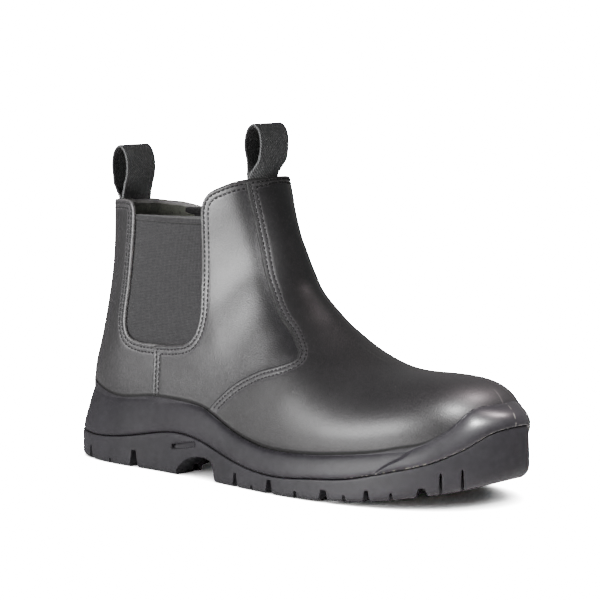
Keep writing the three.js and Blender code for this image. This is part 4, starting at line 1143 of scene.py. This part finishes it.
hollow.data.transform(Matrix.Translation((float(along(0.322)), 25 * MM, 11 * MM - 0.05))
                      @ Matrix.Diagonal((14 * MM, 45 * MM, 0.1, 1)))
cutters.append(hollow)
arch_line = curve_through([(float(along(at)), up * 12.8 * MM) for at, up in ARCH], per_piece=5)
count = len(arch_line)
arch_mesh = bpy.data.meshes.new("arch")
arch_points = [(px, y, pz) for y in (-0.1, 0.1) for px, pz in arch_line]
arch_sides = [(i, (i + 1) % count, (i + 1) % count + count, i + count) for i in range(count)]
arch_ends = [tuple(range(count))[::-1], tuple(range(count, 2 * count))]
arch_mesh.from_pydata(arch_points, [], arch_sides + arch_ends)
arch = bpy.data.objects.new("arch", arch_mesh)
bpy.context.collection.objects.link(arch)
cutters.append(arch)
channel_ring, channel_way, _ = sole_ring(80)
x = channel_ring[:, 0]
outer_wall, inner_wall = np.full(len(x), 15 * MM), np.full(len(x), 19 * MM)
roof, floor_below = ground(x) + 4 * MM, np.full(len(x), -20 * MM)
channel = ring_body("channel", channel_ring, channel_way,
                    [(outer_wall, floor_below), (outer_wall, roof), (inner_wall, roof), (inner_wall, floor_below),
                     (outer_wall, floor_below)], False)
cutters.append(channel)
bpy.ops.object.select_all(action="DESELECT")
for cutter in cutters:
    cutter.select_set(True)
bpy.context.view_layer.objects.active = cutters[0]
bpy.ops.object.join()
knife = bpy.context.object
bpy.ops.object.mode_set(mode="EDIT")
bpy.ops.mesh.select_all(action="SELECT")
bpy.ops.mesh.remove_doubles(threshold=1e-6)
bpy.ops.mesh.normals_make_consistent(inside=False)
bpy.ops.object.mode_set(mode="OBJECT")
bpy.ops.object.select_all(action="DESELECT")
tread.select_set(True)
bpy.context.view_layer.objects.active = tread
bpy.ops.object.modifier_add(type="BOOLEAN")
cutting = tread.modifiers[-1]
cutting.operation = "DIFFERENCE"
cutting.solver = "EXACT"
cutting.use_self = True
cutting.object = knife
bpy.ops.object.modifier_apply(modifier=cutting.name)
bpy.data.objects.remove(knife)
bpy.ops.object.modifier_add(type="BEVEL")
softening = tread.modifiers[-1]
softening.width = 0.35 * MM
softening.segments = 2
softening.limit_method = "ANGLE"
softening.angle_limit = math.radians(38)
bpy.ops.object.modifier_apply(modifier=softening.name)
bpy.ops.object.shade_smooth_by_angle(angle=math.radians(40))
tread_rubber = rubber("outsole_rubber",
    colour(0.0155, 0.0144, 0.0170), colour(0.0225, 0.0210, 0.0246), 0.5, False)
tread.data.materials.append(tread_rubber.material)
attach(tread, "root")
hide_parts("outsole")

tread_face = surface_of(tread)
bead_points, bead_faces = [], []
bpy.ops.mesh.primitive_ico_sphere_add(subdivisions=1, radius=0.5 * MM)
one_bead = bpy.context.object
for spot in bead_places:
    place, _, _, _ = tread_face.find_nearest(spot)
    start = len(bead_points)
    bead_points += [(v.co + place)[:] for v in one_bead.data.vertices]
    bead_faces += [tuple(start + i for i in q.vertices) for q in one_bead.data.polygons]
bpy.data.objects.remove(one_bead)
bead_mesh = bpy.data.meshes.new("slot_beads")
bead_mesh.from_pydata(bead_points, [], bead_faces)
beads = bpy.data.objects.new("slot_beads", bead_mesh)
bpy.context.collection.objects.link(beads)
beads.data.materials.append(tread_rubber.material)
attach(beads, "root")

# Insole: foam footbed with a textile face, laid in the boot and a little dished under the heel.
FOOTBED_OVER = 6.6 * MM
wall_face = surface_of(lining)
stations = np.linspace(along(0.062), along(0.93), 120)
across = np.linspace(-1, 1, 41)
points = []
for x_at in stations:
    height = float(bed(x_at)) + FOOTBED_OVER
    ends = []
    for hand in (-1, 1):
        hit = wall_face.ray_cast(Vector((x_at, 3 * MM, height)), Vector((0, hand, 0)), 0.1)
        ends.append(hit[0].y - hand * 0.1 * MM if hit[0] is not None else hand * 8 * MM)
    low_end, high_end = ends
    for t in across:
        y = (low_end + high_end) / 2 + t * (high_end - low_end) / 2
        dish = 1.4 * MM * abs(t) ** 3 - 0.5 * MM
        points.append((x_at, y, height + dish))
width = len(across)
faces = [
    (i * width + j, (i + 1) * width + j, (i + 1) * width + j + 1, i * width + j + 1)
    for i in range(len(stations) - 1) for j in range(width - 1)
]
footbed_mesh = bpy.data.meshes.new("footbed")
footbed_mesh.from_pydata(points, [], faces)
footbed = bpy.data.objects.new("footbed", footbed_mesh)
bpy.context.collection.objects.link(footbed)
bpy.ops.object.select_all(action="DESELECT")
footbed.select_set(True)
bpy.context.view_layer.objects.active = footbed
bpy.ops.object.modifier_add(type="SOLIDIFY")
footbed.modifiers[-1].thickness = 4.5 * MM
footbed.modifiers[-1].offset = -1
bpy.ops.object.modifier_apply(modifier=footbed.modifiers[-1].name)
bpy.ops.object.shade_smooth_by_angle(angle=math.radians(40))
footbed_cloth = Finish("footbed_cloth", Roughness=0.92)
knit = footbed_cloth.cells(1.3)
fuzz = footbed_cloth.noise(0.7, 3)
footbed_cloth.wear("Base Color", footbed_cloth.mix(
    knit * 0.7 + fuzz * 0.5, colour(0.016, 0.018, 0.018), colour(0.055, 0.058, 0.058)))
footbed_cloth.relief(knit + fuzz * 0.5, 0.3)
footbed.data.materials.append(footbed_cloth.material)
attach(footbed, "root")
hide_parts("insole")

# Pull loops: polyester twill webbing, folded double and sewn inside the collar at the heel and
# the front. Each stands up in a soft teardrop, with thick selvedges.
WEBBING_WIDTH = 24
WEBBING_THICKNESS = 1.5
LOOP_DEPTH = 11.5
LOOP_DROP = 18
COLLAR_BEND = 18
LOOP_LINE = [
    (0, 0), (-0.3, 0.4), (-0.36, 0.66), (-0.22, 0.88), (0.12, 0.98), (0.46, 0.88), (0.64, 0.62), (0.52, 0.34),
]


def pull_loop(name, wall_x, collar, rise, lean, inward, sunk):
    near = 1.8 + 0.6 + WEBBING_THICKNESS / 2
    behind = near + WEBBING_THICKNESS + 0.3
    line = [(near - sunk - lean * LOOP_DROP, -LOOP_DROP), (near - sunk, 0)]
    line += [(near + into * LOOP_DEPTH, up * rise) for into, up in LOOP_LINE[1:]]
    line += [(behind - sunk, 0), (behind - sunk - lean * LOOP_DROP, -LOOP_DROP)]
    path = curve_through([(wall_x + inward * x, collar + z) for x, z in line], per_piece=10)
    across = np.linspace(-0.5, 0.5, 21)
    points, marks = [], []
    length = np.concatenate([[0], np.cumsum(np.linalg.norm(np.diff(path, axis=0), axis=1))])
    for (px, pz), run in zip(path, length):
        flat = min(max(4 * (pz - collar - WEBBING_THICKNESS) / rise, 0), 1)
        cup_in = 0.9 * math.sin(math.pi * min(max((pz - collar) / rise, 0), 1))
        for t in across:
            y = t * WEBBING_WIDTH
            bow = inward * (1 - flat) * y * y / (2 * COLLAR_BEND)
            points.append(((px + bow) * MM, y * MM, (pz + cup_in * 0.35 * (abs(t) * 2) ** 2 * 0.4) * MM))
            marks.append((run, y))
    width = len(across)
    faces = [
        (i * width + j, i * width + j + 1, (i + 1) * width + j + 1, (i + 1) * width + j)
        for i in range(len(path) - 1) for j in range(width - 1)
    ]
    mesh = bpy.data.meshes.new(name)
    mesh.from_pydata(points, [], faces)
    mesh.uv_layers.new(name="weave")
    for polygon in mesh.polygons:
        for loop in polygon.loop_indices:
            run, y = marks[mesh.loops[loop].vertex_index]
            mesh.uv_layers["weave"].data[loop].uv = (run / 10, y / 10)
    loop_piece = bpy.data.objects.new(name, mesh)
    bpy.context.collection.objects.link(loop_piece)
    bpy.ops.object.select_all(action="DESELECT")
    loop_piece.select_set(True)
    bpy.context.view_layer.objects.active = loop_piece
    bpy.ops.object.modifier_add(type="SOLIDIFY")
    loop_piece.modifiers[-1].thickness = WEBBING_THICKNESS * MM
    loop_piece.modifiers[-1].offset = 0
    bpy.ops.object.modifier_apply(modifier=loop_piece.modifiers[-1].name)
    bpy.ops.object.modifier_add(type="BEVEL")
    loop_piece.modifiers[-1].width = 0.5 * MM
    loop_piece.modifiers[-1].segments = 3
    loop_piece.modifiers[-1].limit_method = "ANGLE"
    loop_piece.modifiers[-1].angle_limit = math.radians(50)
    bpy.ops.object.modifier_apply(modifier=loop_piece.modifiers[-1].name)
    bpy.ops.object.shade_smooth_by_angle(angle=math.radians(40))
    bpy.ops.object.mode_set(mode="EDIT")
    bpy.ops.mesh.select_all(action="SELECT")
    bpy.ops.mesh.normals_make_consistent(inside=False)
    bpy.ops.object.mode_set(mode="OBJECT")
    # Painted shade: faces on the inside of the standing loop are marked so that their colour is darkened.
    heart = Vector((np.mean(path[12:-12, 0]) * MM, 0, np.mean(path[12:-12, 1]) * MM))
    inside_shade_marks = []
    for v in loop_piece.data.vertices:
        towards = heart - v.co
        towards.y = 0
        standing = v.co.z > (collar + 3) * MM
        inside_shade_marks.append(1.0 if standing and v.normal.dot(towards.normalized()) > 0.1 else 0.0)
    loop_piece.data.attributes.new("inside", "FLOAT", "POINT").data.foreach_set("value", inside_shade_marks)
    return loop_piece


webbing = Finish("webbing", Roughness=0.88)
uv = webbing.node("ShaderNodeTexCoord", output="UV")
along_band = webbing.node("ShaderNodeSeparateXYZ", None, [uv], output=0)
across_band = webbing.node("ShaderNodeSeparateXYZ", None, [uv], output=1)
twill = webbing.node("ShaderNodeMath", {"operation": "SINE"}, [(along_band + across_band) * (2 * math.pi * 10 / 1.5)])
yarns = webbing.node("ShaderNodeMath", {"operation": "SINE"}, [across_band * (2 * math.pi * 10 / 0.75)])
hair = webbing.noise(0.45, 3)
weave = twill * 0.5 + yarns * 0.25 + hair * 0.7
webbing_shade = webbing.ramp(weave, -0.5, 1.1)
cloth = webbing.mix(webbing_shade, colour(0.064, 0.065, 0.066), colour(0.150, 0.152, 0.154))
# Painted shade: the inside of each loop is made near black.
webbing.wear("Base Color", webbing.mix(webbing.mark("inside") * 0.85, cloth, colour(0.002, 0.002, 0.002)))
webbing.wear("Roughness", 0.95 - webbing_shade * 0.12)
webbing.relief(weave, 0.25)
webbing.shader.inputs["Sheen Weight"].default_value = 0.2
loop_facts = (
    ("front_loop", "pull_loop_front", float(along(0.453)) / MM - 1.5, 168, 29.5, -0.2, -1, 0),
    ("back_loop", "pull_loop_back", float(along(0.075)) / MM, 150, 32, 0.03, 1, 2.2),
)
for name, node, wall_x, collar, rise, lean_in, inward, sunk in loop_facts:
    loop_piece = pull_loop(name, wall_x, collar, rise, lean_in, inward, sunk)
    loop_piece.data.materials.append(webbing.material)
    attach(loop_piece, "root")
    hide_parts(node)
